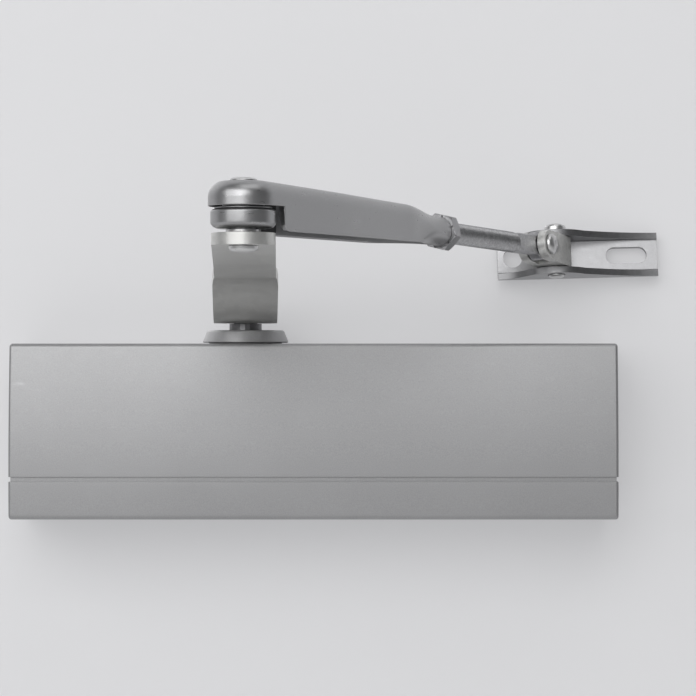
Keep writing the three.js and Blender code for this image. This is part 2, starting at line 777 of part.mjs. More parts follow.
function mainArm() {
  const lower = [];
  const upper = [];
  const stations = [-armHubRadius - 1];
  for (const [from, to, parts] of [[...firstRise, 8], [...secondRise, 5], [...lastRise, 1]]) {
    for (let i = 0; i <= parts; i += 1) {
      stations.push(from + (to - from) * i / parts);
    }
  }
  stations.push(armLength + armEyeRadius + 1);
  const distinct = [...new Set(stations)];
  for (const x of distinct) {
    const slope = (armUnderside(x + 0.5) - armUnderside(x - 0.5));
    lower.push([x, armUnderside(x)]);
    upper.unshift([x, armUnderside(x) + armThickness * Math.hypot(1, slope)]);
  }
  const side = alongY(extruded(polygon([...lower, ...upper]), -2 * armHubRadius, 2 * armHubRadius));
  const outline = new THREE.Shape();
  outline.moveTo(0, -armHubRadius);
  outline.lineTo(armShoulder[0], -armShoulderHalf);
  outline.lineTo(armShoulder[1], -armWaistHalf);
  outline.absarc(armLength, 0, armEyeRadius, -Math.PI / 2, Math.PI / 2);
  outline.lineTo(armShoulder[1], armWaistHalf);
  outline.lineTo(armShoulder[0], armShoulderHalf);
  outline.absarc(0, 0, armHubRadius, Math.PI / 2, 1.5 * Math.PI);
  const plan = extruded(outline, armSeat - 5, armTip + 10, 10);
  const half = squareSide / 2 + gap;
  const square = box(-half, half, -half, half, armSeat - 2, armSeat + armThickness + 2);
  const eye = disc(elbowShank + gap, armTip - 2, armTip + armThickness + 2, 20).translate(armLength, 0, 0);
  return cut(common(side, plan), square, eye);
}

function armScrew() {
  const under = armScrewBase + armWasher + filmGap;
  const body = turned([
    [0, armSeat - 13], [arborScrewRadius - 0.5, armSeat - 13], [arborScrewRadius, armSeat - 12.5],
    [arborScrewRadius, under], [armScrewHead, under], [armScrewHead, under + 3.4],
    [armScrewHead - 0.6, under + 4], [0, under + 4],
  ]);
  return cut(body, extruded(hexagon(5), under + 1.2, under + 5));
}

const mainArmGroup = placed(atSpindle, 0, 0, 0);
mainArmGroup.rotation.z = armAngle;
piece(mainArmGroup, 'main_arm', mainArm(), finishes.armPaint);
piece(mainArmGroup, 'arm_screw', armScrew(), finishes.zincPlate);
piece(mainArmGroup, 'arm_screw_washer',
  ring(arborScrewRadius + gap, armWasherRadius, armScrewBase, armScrewBase + armWasher),
  finishes.zincPlate);

// ---------------------------------------------------------------- elbow

function elbowRivet() {
  const bottom = armTip - filmGap;
  const top = forearmTop + filmGap;
  return turned([
    [0, bottom - 2.1], [3, bottom - 2.1], [elbowHeadRadius, bottom - 1.2], [elbowHeadRadius, bottom],
    [elbowShank, bottom], [elbowShank, top], [elbowHeadRadius - 0.2, top],
    [elbowHeadRadius - 0.5, top + 0.5], [2.2, top + 0.9], [0, top + 1],
  ]);
}

// A bush that keeps the rivet from crushing the hollow eye of the forearm.
function elbowBush() {
  const top = forearmTop - forearmWall - filmGap;
  return ring(elbowShank + gap, 6.6, lobeBottom, top);
}

const elbow = placed(mainArmGroup, armLength, 0, 0);
piece(elbow, 'elbow_rivet', elbowRivet(), finishes.brightSteel);
piece(elbow, 'elbow_washer',
  ring(elbowShank + gap, elbowWasherRadius, elbowWasherBottom, elbowWasherBottom + elbowWasher),
  finishes.brightSteel);
piece(elbow, 'elbow_disc', turned([
  [elbowShank + gap, discBottom], [discRadius - 1.6, discBottom], [discRadius, discBottom + 1.3],
  [discRadius, discBottom + discThickness - 0.4], [discRadius - 0.4, discBottom + discThickness],
  [elbowShank + gap, discBottom + discThickness], [elbowShank + gap, discBottom],
], 28), finishes.armPaint);
piece(elbow, 'elbow_top_washer',
  ring(elbowShank + gap, topWasherRadius, topWasherBottom, topWasherBottom + topWasher, 24),
  finishes.zincPlate);
piece(elbow, 'elbow_bush', elbowBush(), finishes.brightSteel);

// ---------------------------------------------------------------- forearm

// One section of the forearm, across its length: a rectangle with round shoulders and a round or sharp foot.
function forearmRing(x, halfWidth, top, bottom, shoulder, foot) {
  const points = [];
  const corners = [
    [halfWidth - foot, bottom + foot, foot, -Math.PI / 2],
    [halfWidth - shoulder, top - shoulder, shoulder, 0],
    [-halfWidth + shoulder, top - shoulder, shoulder, Math.PI / 2],
    [-halfWidth + foot, bottom + foot, foot, Math.PI],
  ];
  for (const [y, z, radius, start] of corners) {
    for (let i = 0; i <= 4; i += 1) {
      const angle = start + i * Math.PI / 8;
      points.push(new THREE.Vector3(x, y + radius * Math.cos(angle), z + radius * Math.sin(angle)));
    }
  }
  return points;
}

// Height of the rod's axis at a distance from the elbow: it falls slightly towards the shoe.
function rodLine(x) {
  return rodHeight - (x - tubeEnd) * Math.tan(rodPitch);
}

function forearmSkin(inset) {
  const open = inset > 0;
  const shoulder = lobeEdge - inset;
  const foot = open ? 0.2 : 0.6;
  const floor = open ? channelFloor - 8 : channelFloor;
  const tube = tubeRadius - inset;
  const taperLast = open ? tubeStart - 7 : tubeStart;
  const bore = rodRadius + gap;
  const last = open ? bore : tube;
  const rings = [
    forearmRing(0, lobeRadius - inset, forearmTop - inset, floor, shoulder, foot),
    forearmRing(forearmMid, lobeRadius - inset, forearmMidTop - inset, floor, shoulder, foot),
    forearmRing(taperStart, taperWidth - inset, taperTop - inset, floor, shoulder, foot),
    forearmRing(taperLast, last, rodLine(taperLast) + last, rodLine(taperLast) - last, last, last),
  ];
  const end = open ? tubeEnd + 1 : tubeEnd;
  rings.push(forearmRing(end, last, rodLine(end) + last, rodLine(end) - last, last, last));
  return loft(rings);
}

function lobe(inset, bottom) {
  const radius = lobeRadius - inset;
  const top = forearmTop - inset;
  const edge = lobeEdge - inset;
  const profile = [[0, bottom], [radius, bottom]];
  for (let i = 0; i <= 4; i += 1) {
    const angle = i * Math.PI / 8;
    profile.push([radius - edge + edge * Math.cos(angle), top - edge + edge * Math.sin(angle)]);
  }
  profile.push([0, top]);
  return turned(profile, 28);
}

function forearm() {
  const outer = join(forearmSkin(0), lobe(0, lobeBottom));
  const inner = join(forearmSkin(forearmWall), lobe(forearmWall, channelFloor - 8));
  const reach = 2 * lobeRadius;
  const corner = 3;
  const relief = new THREE.Shape();
  relief.moveTo(-reach, channelFloor - 2);
  relief.lineTo(skirtStart + corner, channelFloor - 2);
  relief.lineTo(skirtStart + corner, channelFloor);
  relief.absarc(skirtStart + corner, channelFloor + corner, corner, -Math.PI / 2, -Math.PI, true);
  relief.lineTo(skirtStart, lobeBottom);
  relief.lineTo(-reach, lobeBottom);
  const underEye = alongY(extruded(relief, -reach, reach));
  const rivetHole = disc(elbowShank + gap, forearmTop - forearmWall - 1, forearmTop + 1, 20);
  return cut(outer, inner, underEye, rivetHole);
}

function adjustingRod() {
  const rod = alongX(turned([
    [0, rodStart], [rodRadius - 1, rodStart], [rodRadius, rodStart + 1],
    [rodRadius, threadEnd - 1], [rodNeck / 2 - 0.6, threadEnd], [0, threadEnd],
  ]));
  const outline = new THREE.Shape();
  const half = rodNeck / 2;
  const meet = Math.asin(half / eyeRadius);
  outline.moveTo(threadEnd - 3, -half + 0.6);
  outline.lineTo(threadEnd + 2, -half);
  outline.absarc(rodEye, 0, eyeRadius, Math.PI + meet, Math.PI - meet + 2 * Math.PI);
  outline.lineTo(threadEnd + 2, half);
  outline.lineTo(threadEnd - 3, half - 0.6);
  const blade = alongY(extruded(outline, -eyeThickness / 2, eyeThickness / 2, 12));
  const hole = alongY(disc(swivelShank + gap, -eyeThickness, eyeThickness, 16)).translate(rodEye, 0, 0);
  return cut(join(rod, blade), hole);
}

function lockNut() {
  const start = tubeEnd + gap;
  const end = start + nutThickness;
  const corner = nutFlats / Math.sqrt(3);
  const prism = extruded(hexagon(nutFlats), start, end);
  const chamfer = turned([
    [0, start], [nutFlats / 2, start], [corner, start + 0.7], [corner, end - 0.7], [nutFlats / 2, end], [0, end],
  ], 24);
  const bore = disc(rodRadius + gap, start - 1, end + 1, 20);
  return alongX(cut(common(prism, chamfer), bore)).rotateX(nutTurn);
}

const forearmGroup = placed(mainArmGroup, armLength, 0, 0);
forearmGroup.rotation.z = forearmAngle - armAngle;

// The rod's own line, about the mouth of the tube. Sizes along the rod are still taken from the elbow.
const nutGroup = placed(forearmGroup, tubeEnd, 0, rodHeight);
nutGroup.rotation.y = rodPitch;
const rodGroup = placed(nutGroup, 0, 0, 0);

// The direction of the shoe's pin, with the shoe tilted against the frame and rolled about the view from the front.
const pinDirection = new THREE.Vector3(0, Math.sin(shoeTilt), Math.cos(shoeTilt));
pinDirection.applyAxisAngle(new THREE.Vector3(0, 1, 0), -shoeRoll);

// A direction of the closer's own frame, as a group sees it.
function seenFrom(group, direction) {
  closer.updateMatrixWorld(true);
  const turn = group.getWorldQuaternion(new THREE.Quaternion()).invert();
  return direction.clone().applyQuaternion(turn);
}

// The roll of the rod that sets its eye square to the pin.
const pinFromRod = seenFrom(rodGroup, pinDirection);
rodGroup.rotation.x = Math.atan2(-pinFromRod.y, pinFromRod.z);
piece(forearmGroup, 'forearm', forearm(), finishes.armPaint);
piece(rodGroup, 'adjusting_rod', adjustingRod().translate(-tubeEnd, 0, 0), finishes.threadSteel);
piece(nutGroup, 'lock_nut', lockNut().translate(-tubeEnd, 0, 0), finishes.zincPlate);

// ---------------------------------------------------------------- swivel fork

function swivelFork() {
  const half = forkHeight / 2;
  const end = pinOffset + forkTail;
  const side = new THREE.Shape();
  side.absarc(0, 0, eyeRadius, Math.PI / 2, 1.5 * Math.PI);
  side.lineTo(pinOffset / 2, -half);
  side.lineTo(end, -half);
  side.lineTo(end, half);
  side.lineTo(pinOffset / 2, half);
  const chamfer = 1.3;
  const plan = polygon([
    [-eyeRadius - 1, -forkHalfWidth], [end - chamfer, -forkHalfWidth], [end, -forkHalfWidth + chamfer],
    [end, forkHalfWidth - chamfer], [end - chamfer, forkHalfWidth], [-eyeRadius - 1, forkHalfWidth],
  ]);
  const body = common(alongY(extruded(side, -forkHalfWidth, forkHalfWidth, 8)), extruded(plan, -half, half));
  const slotHalf = eyeThickness / 2 + gap;
  const slot = box(-eyeRadius - 1, eyeRadius + 1.2, -slotHalf, slotHalf, -half - 1, half + 1);
  const pinHole = disc(pinRadius + gap, -half - 1, half + 1, 20).translate(pinOffset, 0, 0);
  const rivetHole = alongY(disc(swivelShank + gap, -2 * forkHalfWidth, 2 * forkHalfWidth, 16));
  return cut(body, slot, pinHole, rivetHole);
}

function swivelRivet() {
  const face = forkHalfWidth + filmGap;
  return alongY(turned([
    [0, -face - 1.1], [2.6, -face - 1.1], [3.4, -face - 0.5], [3.4, -face],
    [swivelShank, -face], [swivelShank, face], [swivelHeadRadius, face],
    [swivelHeadRadius - 0.4, face + 0.9], [swivelHeadRadius - 1.5, face + 1.8], [0, face + 2.3],
  ], 20));
}

const swivelGroup = placed(rodGroup, rodEye - tubeEnd, 0, 0);
swivelGroup.rotation.y = Math.asin(pinFromRod.x);
piece(swivelGroup, 'swivel_fork', swivelFork(), finishes.armPaint);
piece(swivelGroup, 'swivel_rivet', swivelRivet(), finishes.brightSteel);

// ---------------------------------------------------------------- shoe

// The shoe is a folded channel: a back plate for the door frame, and two flanges that hold the pin.
function shoeBracket() {
  const front = -shoeNose - 2;
  const channel = new THREE.Shape();
  channel.moveTo(front, -shoeOuter);
  channel.lineTo(shoeBack - shoeBend, -shoeOuter);
  channel.absarc(shoeBack - shoeBend, -shoeOuter + shoeBend, shoeBend, -Math.PI / 2, 0);
  channel.absarc(shoeBack - shoeBend, shoeOuter - shoeBend, shoeBend, 0, Math.PI / 2);
  channel.lineTo(front, shoeOuter);
  channel.lineTo(front, shoeInner);
  channel.lineTo(shoeBack - shoeSheet, shoeInner);
  channel.lineTo(shoeBack - shoeSheet, -shoeInner);
  channel.lineTo(front, -shoeInner);
  const folded = alongX(extruded(channel, -shoeLeft, shoeRight, 4));
  const plan = new THREE.Shape();
  plan.moveTo(-shoeLeft, shoeBack + 1);
  plan.lineTo(-shoeLeft, shoeBack - shoeEndDepth);
  plan.quadraticCurveTo(-shoeLeft + 7, shoeBack - shoeEndDepth - 1, -shoeNoseHalf - 4, -shoeNose + 4);
  plan.quadraticCurveTo(-shoeNoseHalf, -shoeNose, 0, -shoeNose);
  plan.quadraticCurveTo(shoeNoseHalf, -shoeNose, shoeNoseHalf + 5, -shoeNose + 4);
  plan.quadraticCurveTo(shoeRight - 14, shoeBack - shoeEndDepth - 1, shoeRight, shoeBack - shoeEndDepth);
  plan.lineTo(shoeRight, shoeBack + 1);
  const outline = extruded(plan, -2 * shoeOuter, 2 * shoeOuter, 6);
  const pinHoles = disc(pinRadius + gap, -2 * shoeOuter, 2 * shoeOuter, 20);
  const hole = alongY(disc(holeRadius, -shoeBack - 5, 0, 20)).translate(holeX, 0, 0);
  const straight = slotLength / 2 - slotHeight / 2;
  const slotShape = link(slotX - straight, slotHeight / 2, slotX + straight, slotHeight / 2);
  const slot = alongY(extruded(slotShape, -shoeBack - 5, 0, 6));
  return cut(common(folded, outline), pinHoles, hole, slot);
}

function shoePin() {
  const head = shoeOuter + filmGap;
  return turned([
    [0, -shoeOuter - pinTail], [pinRadius - 0.4, -shoeOuter - pinTail], [pinRadius, -shoeOuter - pinTail + 0.4],
    [pinRadius, head], [pinHeadRadius, head], [pinHeadRadius, head + 1.4],
    [pinHeadRadius - 0.8, head + 2.2], [0, head + 2.6],
  ], 20);
}

// The swing about the pin that lays the shoe along the door frame.
const alongFrame = seenFrom(swivelGroup, new THREE.Vector3(Math.cos(shoeRoll), 0, Math.sin(shoeRoll)));
const shoeGroup = placed(swivelGroup, pinOffset, 0, 0);
shoeGroup.rotation.z = Math.atan2(alongFrame.y, alongFrame.x);
piece(shoeGroup, 'shoe_bracket', shoeBracket(), finishes.zincPlate);
piece(shoeGroup, 'shoe_pin', shoePin(), finishes.brightSteel);

export default closer;
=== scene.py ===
# %% [markdown]
# # A door closer, finished in Blender
#
# The closer already exists as a working CAD frame: every lever, rivet and spring has its place, its body
# and its joint. This lesson gives it its looks. The CAD solids are coarse, so each piece that can be seen
# is made again, finely, from the same sizes, and rides on the same body. Nearly all that stays hidden keeps
# its CAD solid and only gets a material.

import json
import math

import bmesh
import bpy
from mathutils import Matrix, Vector

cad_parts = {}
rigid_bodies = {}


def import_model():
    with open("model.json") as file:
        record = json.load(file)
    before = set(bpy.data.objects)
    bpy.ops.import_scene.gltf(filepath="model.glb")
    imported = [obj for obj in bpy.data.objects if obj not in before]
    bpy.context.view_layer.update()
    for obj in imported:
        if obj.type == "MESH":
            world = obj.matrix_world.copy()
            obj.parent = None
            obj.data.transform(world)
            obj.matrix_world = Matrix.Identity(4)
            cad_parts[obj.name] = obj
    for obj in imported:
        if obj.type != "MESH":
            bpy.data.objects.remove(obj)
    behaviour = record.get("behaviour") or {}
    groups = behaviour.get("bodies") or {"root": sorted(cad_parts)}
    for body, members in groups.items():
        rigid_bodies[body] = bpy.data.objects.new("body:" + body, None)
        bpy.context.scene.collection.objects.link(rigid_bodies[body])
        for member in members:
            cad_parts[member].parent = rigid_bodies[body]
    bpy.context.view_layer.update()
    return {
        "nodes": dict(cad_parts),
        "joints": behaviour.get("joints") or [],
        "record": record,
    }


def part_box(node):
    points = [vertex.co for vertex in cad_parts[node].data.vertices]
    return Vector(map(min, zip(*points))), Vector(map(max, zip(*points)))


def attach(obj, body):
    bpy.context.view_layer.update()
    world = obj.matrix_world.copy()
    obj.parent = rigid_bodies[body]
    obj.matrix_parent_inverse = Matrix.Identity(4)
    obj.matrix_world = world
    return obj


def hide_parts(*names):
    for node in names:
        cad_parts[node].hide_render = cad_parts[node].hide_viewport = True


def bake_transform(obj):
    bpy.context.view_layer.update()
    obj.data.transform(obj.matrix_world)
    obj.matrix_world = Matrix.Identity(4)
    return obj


for leftover in list(bpy.data.objects):
    bpy.data.objects.remove(leftover)
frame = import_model()

# %% [markdown]
# ## Places
#
# Every piece is drawn in millimetres in its own small frame: X along an arm, Z along a rivet. A matrix then
# carries it to its place. Those matrices are worked out from the joints, because a joint's axis is exactly
# where a rivet or a spindle stands. Nothing has to be fitted by eye.

# %% Frames of the arms, from the joints
MM = 0.001
UP = Vector((0, 0, 1))
RIGHT = Vector((1, 0, 0))
joints = {joint["name"]: joint for joint in frame["joints"]}


def joint_point(name):
    return Vector(joints[name]["pos_m"])


def joint_axis(name):
    return Vector(joints[name]["axis"]).normalized()


def ground(point):
    """The point straight below or above, at height 0, so that heights along a rivet stay the closer's own."""
    return Vector((point.x, point.y, 0))


def place(origin, x_axis, z_axis):
    """A frame at origin (metres) with the given X direction and Z direction, scaled so that it takes mm."""
    z = z_axis.normalized()
    x = (x_axis - z * x_axis.dot(z)).normalized()
    turn = Matrix((x, z.cross(x), z)).transposed().to_4x4()
    return Matrix.Translation(origin) @ turn @ Matrix.Scale(MM, 4)


spindle_point = ground(joint_point("spindle_turn"))
elbow_point = ground(joint_point("elbow_fold"))
forearm_axis = joint_axis("rod_adjust")
tilt_axis = joint_axis("rod_tilt")
swing_axis = joint_axis("shoe_swing")
TUBE_END = 133.0
fall = forearm_axis.z / math.hypot(forearm_axis.x, forearm_axis.y)
arm_length = (elbow_point - spindle_point).length / MM
level_reach = (ground(joint_point("rod_tilt")) - elbow_point).length / MM
eye_reach = TUBE_END + (level_reach - TUBE_END) * math.hypot(1, fall)
rod_origin = joint_point("rod_tilt") - forearm_axis * eye_reach * MM
rod_height = joint_point("rod_tilt").z / MM - fall * (level_reach - TUBE_END)

IN_BODY = Matrix.Scale(MM, 4)
AT_SPINDLE = place(spindle_point, RIGHT, UP)
ON_ARM = place(spindle_point, elbow_point - spindle_point, UP)
AT_ELBOW = place(elbow_point, elbow_point - spindle_point, UP)
ON_FOREARM = place(elbow_point, forearm_axis, UP)
ON_ROD = place(rod_origin, forearm_axis, tilt_axis.cross(forearm_axis))
ON_NUT = place(rod_origin, forearm_axis, UP - forearm_axis * forearm_axis.z)
ON_SWIVEL = place(joint_point("rod_tilt"), swing_axis.cross(tilt_axis), swing_axis)
ON_SHOE = place(joint_point("shoe_swing"), Vector((swing_axis.z, 0, -swing_axis.x)), swing_axis)
print(f"main arm {arm_length:.1f} mm, elbow to rod eye {eye_reach:.1f} mm")


def across(matrix):
    """The same frame turned so that what is drawn along Z lies along the frame's -Y, with its y along Z."""
    return matrix @ Matrix.Rotation(math.pi / 2, 4, "X")


def lengthways(matrix):
    """The same frame turned so that what is drawn along Z lies along the frame's X, with its x along Y."""
    turn = Matrix(((0, 0, 1, 0), (1, 0, 0, 0), (0, 1, 0, 0), (0, 0, 0, 1)))
    return matrix @ turn


def shift(x, y=0, z=0):
    return Matrix.Translation((x, y, z))


ACROSS = across(Matrix.Identity(4))
LENGTHWAYS = lengthways(Matrix.Identity(4))


# %% [markdown]
# ## Reading sizes from the CAD boxes
#
# A node's box gives the outer sizes of a piece in the closer's own frame. For pieces that stand upright on
# the spindle or the elbow, the lowest and highest corner are the heights that the lathe profiles below
# need.

# %% Heights and widths from the boxes


def heights(node):
    """Lowest and highest point of a CAD node, in mm."""
    low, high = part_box(node)
    return low.z / MM, high.z / MM


def width(node, axis=0):
    low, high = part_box(node)
    return (high[axis] - low[axis]) / MM


collar_bottom = 33.5
collar_top = heights("spindle_collar")[1]
cover_low, cover_high = heights("cover")
cover_front = -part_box("cover")[0].y / MM
cover_back = -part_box("cover")[1].y / MM
print(f"cover {width('cover'):.1f} x {cover_high - cover_low:.1f} x {cover_front:.1f} mm")

# %% [markdown]
# ## Shaders: shared effects
#
# Bare steel, zinc plate and silver paint all owe their look to very small things: flakes, crystals, tiny
# pits. Each of those effects is a node group that puts out masks and heights. The same group is used in
# several materials at different scales, so it is built once. The Principled shader itself stays in the
# material.

# %% A small helper for node groups


def node_group(name, inputs, outputs):
    """An empty shader group with named float inputs and outputs. Returns the tree, its input and its output."""
    tree = bpy.data.node_groups.new(name, "ShaderNodeTree")
    for title, value in inputs.items():
        socket = tree.interface.new_socket(title, in_out="INPUT", socket_type="NodeSocketFloat")
        socket.default_value = value
    for title in outputs:
        tree.interface.new_socket(title, in_out="OUTPUT", socket_type="NodeSocketFloat")
    return tree, tree.nodes.new("NodeGroupInput"), tree.nodes.new("NodeGroupOutput")


def maths(tree, operation, *operands):
    """One Math node, in a shader or a geometry tree. Each operand is a socket or a number."""
    node = tree.nodes.new("ShaderNodeMath")
    node.operation = operation
    for number, operand in enumerate(operands):
        if isinstance(operand, bpy.types.NodeSocket):
            tree.links.new(operand, node.inputs[number])
        else:
            node.inputs[number].default_value = operand
    return node.outputs[0]


def noise(tree, scale, detail=2.0, vector=None):
    """A noise texture on Object coordinates, in waves per metre. scale is a socket or a number."""
    node = tree.nodes.new("ShaderNodeTexNoise")
    node.inputs["Detail"].default_value = detail
    if isinstance(scale, bpy.types.NodeSocket):
        tree.links.new(scale, node.inputs["Scale"])
    else:
        node.inputs["Scale"].default_value = scale
    if vector is None:
        vector = tree.nodes.new("ShaderNodeTexCoord").outputs["Object"]
    tree.links.new(vector, node.inputs["Vector"])
    return node.outputs["Fac"]


# %% [markdown]
# ### Metal flakes
#
# Silver paint holds aluminium flakes of a few tenths of a millimetre that lie at slightly different angles,
# so some sparkle and some stay dark. A fine noise, pushed towards its ends, stands for them. A second,
# slower noise is the unevenness of the spray coat.

# %% The flake group


def make_flakes():
    tree, given, result = node_group("metal_flakes", {"Size per m": 2600.0, "Depth": 0.12}, ["Shade", "Height"])
    fine = noise(tree, given.outputs["Size per m"], 1.0)
    slow = noise(tree, maths(tree, "MULTIPLY", given.outputs["Size per m"], 0.012), 2.0)
    centred = maths(tree, "SUBTRACT", fine, 0.5)
    drift = maths(tree, "MULTIPLY", maths(tree, "SUBTRACT", slow, 0.5), 0.5)
    both = maths(tree, "ADD", maths(tree, "MULTIPLY", centred, 2.0), drift)
    shade = maths(tree, "MULTIPLY_ADD", both, given.outputs["Depth"], 1.0)
    tree.links.new(shade, result.inputs["Shade"])
    tree.links.new(fine, result.inputs["Height"])
    return tree


flakes = make_flakes()

# %% [markdown]
# ### Zinc spangle and handling marks
#
# Plated steel shows faint crystals and rub marks. A Voronoi cell pattern gives each crystal its own
# brightness. The rub marks are noise stretched along one direction, cut off so that only its peaks remain.

# %% The spangle and rub groups


def make_spangle():
    sizes = {"Cells per m": 900.0, "Depth": 0.2}
    tree, given, result = node_group("zinc_spangle", sizes, ["Shade", "Rough", "Height"])
    cells = tree.nodes.new("ShaderNodeTexVoronoi")
    cells.feature = "F1"
    coordinates = tree.nodes.new("ShaderNodeTexCoord").outputs["Object"]
    tree.links.new(coordinates, cells.inputs["Vector"])
    tree.links.new(given.outputs["Cells per m"], cells.inputs["Scale"])
    grey = tree.nodes.new("ShaderNodeRGBToBW")
    tree.links.new(cells.outputs["Color"], grey.inputs["Color"])
    cloud = noise(tree, maths(tree, "MULTIPLY", given.outputs["Cells per m"], 0.25), 4.0)
    crystals = maths(tree, "SUBTRACT", grey.outputs["Val"], 0.5)
    mixed = maths(tree, "ADD", crystals, maths(tree, "SUBTRACT", cloud, 0.5))
    shade = maths(tree, "MULTIPLY_ADD", mixed, given.outputs["Depth"], 1.0)
    tree.links.new(shade, result.inputs["Shade"])
    tree.links.new(maths(tree, "MULTIPLY_ADD", mixed, 0.5, 0.5), result.inputs["Rough"])
    tree.links.new(cloud, result.inputs["Height"])
    return tree


def make_rubs():
    tree, given, result = node_group("rub_marks", {"Scale": 140.0, "Reach": 0.62}, ["Mask"])
    mapping = tree.nodes.new("ShaderNodeMapping")
    mapping.inputs["Scale"].default_value = (1.0, 1.0, 7.0)
    coordinates = tree.nodes.new("ShaderNodeTexCoord").outputs["Object"]
    tree.links.new(coordinates, mapping.inputs["Vector"])
    streaks = noise(tree, given.outputs["Scale"], 3.0, mapping.outputs["Vector"])
    above = maths(tree, "SUBTRACT", streaks, given.outputs["Reach"])
    mask = maths(tree, "MINIMUM", maths(tree, "MAXIMUM", maths(tree, "MULTIPLY", above, 9.0), 0.0), 1.0)
    tree.links.new(mask, result.inputs["Mask"])
    return tree


spangle = make_spangle()
rubs = make_rubs()
print("effect groups:", ", ".join(group.name for group in bpy.data.node_groups))

# %% [markdown]
# ## Materials
#
# One function builds every metal and paint here: a base colour that an effect group makes lighter or
# darker, a roughness that the rub marks polish, and a shallow bump. What differs from finish to finish is
# stated in one short call each, which makes them easy to compare and to tune.

# %% The material maker
RUB_POLISH = 0.08
CRYSTAL_ROUGHNESS = 0.14
BUMP_DISTANCE = 0.0004


def group_node(tree, group, *values):
    node = tree.nodes.new("ShaderNodeGroup")
    node.node_tree = group
    for socket, value in zip(node.inputs, values):
        socket.default_value = value
    return node


def finish(name, colour, metallic, roughness, effect, per_metre, depth, bump, cut_and_shade_loss=0.3):
    """A Principled material whose colour, roughness and bump vary by an effect group and rub marks.

    per_metre and depth are the scale and strength of the effect. The last argument is how much darker marked
    faces are: real cut edges, and painted shade inside the forearm.
    """
    material = bpy.data.materials.new(name)
    material.use_nodes = True
    tree = material.node_tree
    shader = tree.nodes["Principled BSDF"]
    shader.inputs["Metallic"].default_value = metallic
    made = group_node(tree, effect, per_metre, depth)
    marks = group_node(tree, rubs)
    # Marked faces are drawn darker: real cut edges on the shoe, and painted shade inside the forearm near its
    # eye.
    cut = tree.nodes.new("ShaderNodeAttribute")
    cut.attribute_name = "cut_edge_and_shade"
    darker = maths(tree, "MULTIPLY_ADD", cut.outputs["Fac"], -cut_and_shade_loss, 1.0)
    tint = tree.nodes.new("ShaderNodeVectorMath")
    tint.operation = "SCALE"
    tint.inputs[0].default_value = colour
    tree.links.new(maths(tree, "MULTIPLY", made.outputs["Shade"], darker), tint.inputs["Scale"])
    tree.links.new(tint.outputs["Vector"], shader.inputs["Base Color"])
    polished = maths(tree, "MULTIPLY_ADD", marks.outputs["Mask"], -RUB_POLISH, roughness)
    if "Rough" in made.outputs:
        polished = maths(tree, "MULTIPLY_ADD", made.outputs["Rough"], CRYSTAL_ROUGHNESS, polished)
    tree.links.new(polished, shader.inputs["Roughness"])
    relief = tree.nodes.new("ShaderNodeBump")
    relief.inputs["Strength"].default_value = bump
    relief.inputs["Distance"].default_value = BUMP_DISTANCE
    tree.links.new(made.outputs["Height"], relief.inputs["Height"])
    tree.links.new(relief.outputs["Normal"], shader.inputs["Normal"])
    return material


# %% [markdown]
# ### The finishes of the closer
#
# The cover wears silver paint, matt with a fine sparkle. The forearm and the elbow's disc wear a smoother
# silver, so they carry a soft highlight. The main arm is bare plated bar, lighter than the paint. The shoe
# is bright zinc plate, the fork is duller, the rod glitters in its threads, and rivets, pins and plugs are
# plain bright steel.

# %% Finishes
cover_paint = finish("cover_silver_paint", (0.33, 0.33, 0.335), 0.75, 0.46, flakes, 3000.0, 0.16, 0.05)
# On the forearm, the marked faces inside the channel get painted shade: their colour drops by three quarters.
arm_paint = finish(
    "arm_silver_paint", (0.34, 0.34, 0.345), 0.9, 0.33, flakes, 3600.0, 0.1, 0.06, cut_and_shade_loss=0.75
)
bar_steel = finish(
    "bar_steel_plate", (0.57, 0.57, 0.555), 0.85, 0.33, spangle, 400.0, 0.1, 0.2, cut_and_shade_loss=0.45
)
collar_plastic = finish("collar_grey", (0.36, 0.36, 0.365), 0.45, 0.42, flakes, 3000.0, 0.12, 0.08)
zinc = finish(
    "bright_zinc_plate", (0.36, 0.36, 0.368), 1.0, 0.32, spangle, 1500.0, 0.12, 0.12, cut_and_shade_loss=0.35
)
dull_zinc = finish("dull_fork_plate", (0.6, 0.6, 0.585), 0.9, 0.4, spangle, 900.0, 0.25, 0.15)
thread_steel = finish("rolled_thread_steel", (0.38, 0.38, 0.39), 1.0, 0.3, spangle, 1800.0, 0.45, 0.3)
bright_steel = finish("bright_steel", (0.58, 0.58, 0.58), 1.0, 0.26, spangle, 700.0, 0.1, 0.04)
cast_aluminium = finish("cast_aluminium", (0.5, 0.51, 0.52), 0.9, 0.55, flakes, 1300.0, 0.2, 0.6)
shaft_steel = finish("oiled_shaft_steel", (0.2, 0.2, 0.205), 1.0, 0.3, spangle, 700.0, 0.1, 0.04)
spring_steel = finish("dark_spring_steel", (0.12, 0.12, 0.13), 0.9, 0.35, flakes, 900.0, 0.2, 0.1)
seal_rubber = finish("seal_rubber", (0.02, 0.02, 0.022), 0.0, 0.65, flakes, 1500.0, 0.3, 0.2)
print("finishes:", len(bpy.data.materials))

# %% [markdown]
# ### Which node wears which finish
#
# The record names a material slot for every node, and each slot has one finish here. Two nodes are
# exceptions: the main arm is bare plated bar, and the pinion shaft is oiled steel.

# %% Finish by slot
finish_of_slot = {
    "cover_paint": cover_paint,
    "cast_aluminium": cast_aluminium,
    "bright_steel": bright_steel,
    "seal_rubber": seal_rubber,
    "zinc_plate": zinc,
    "collar_polymer": collar_plastic,
    "spring_steel": spring_steel,
    "arm_paint": arm_paint,
    "thread_steel": thread_steel,
    "fork_steel": dull_zinc,
}
slot_of_node = {row["node"]: row["material_slot"] for row in frame["record"]["subparts"]}
print("slots:", len(finish_of_slot))

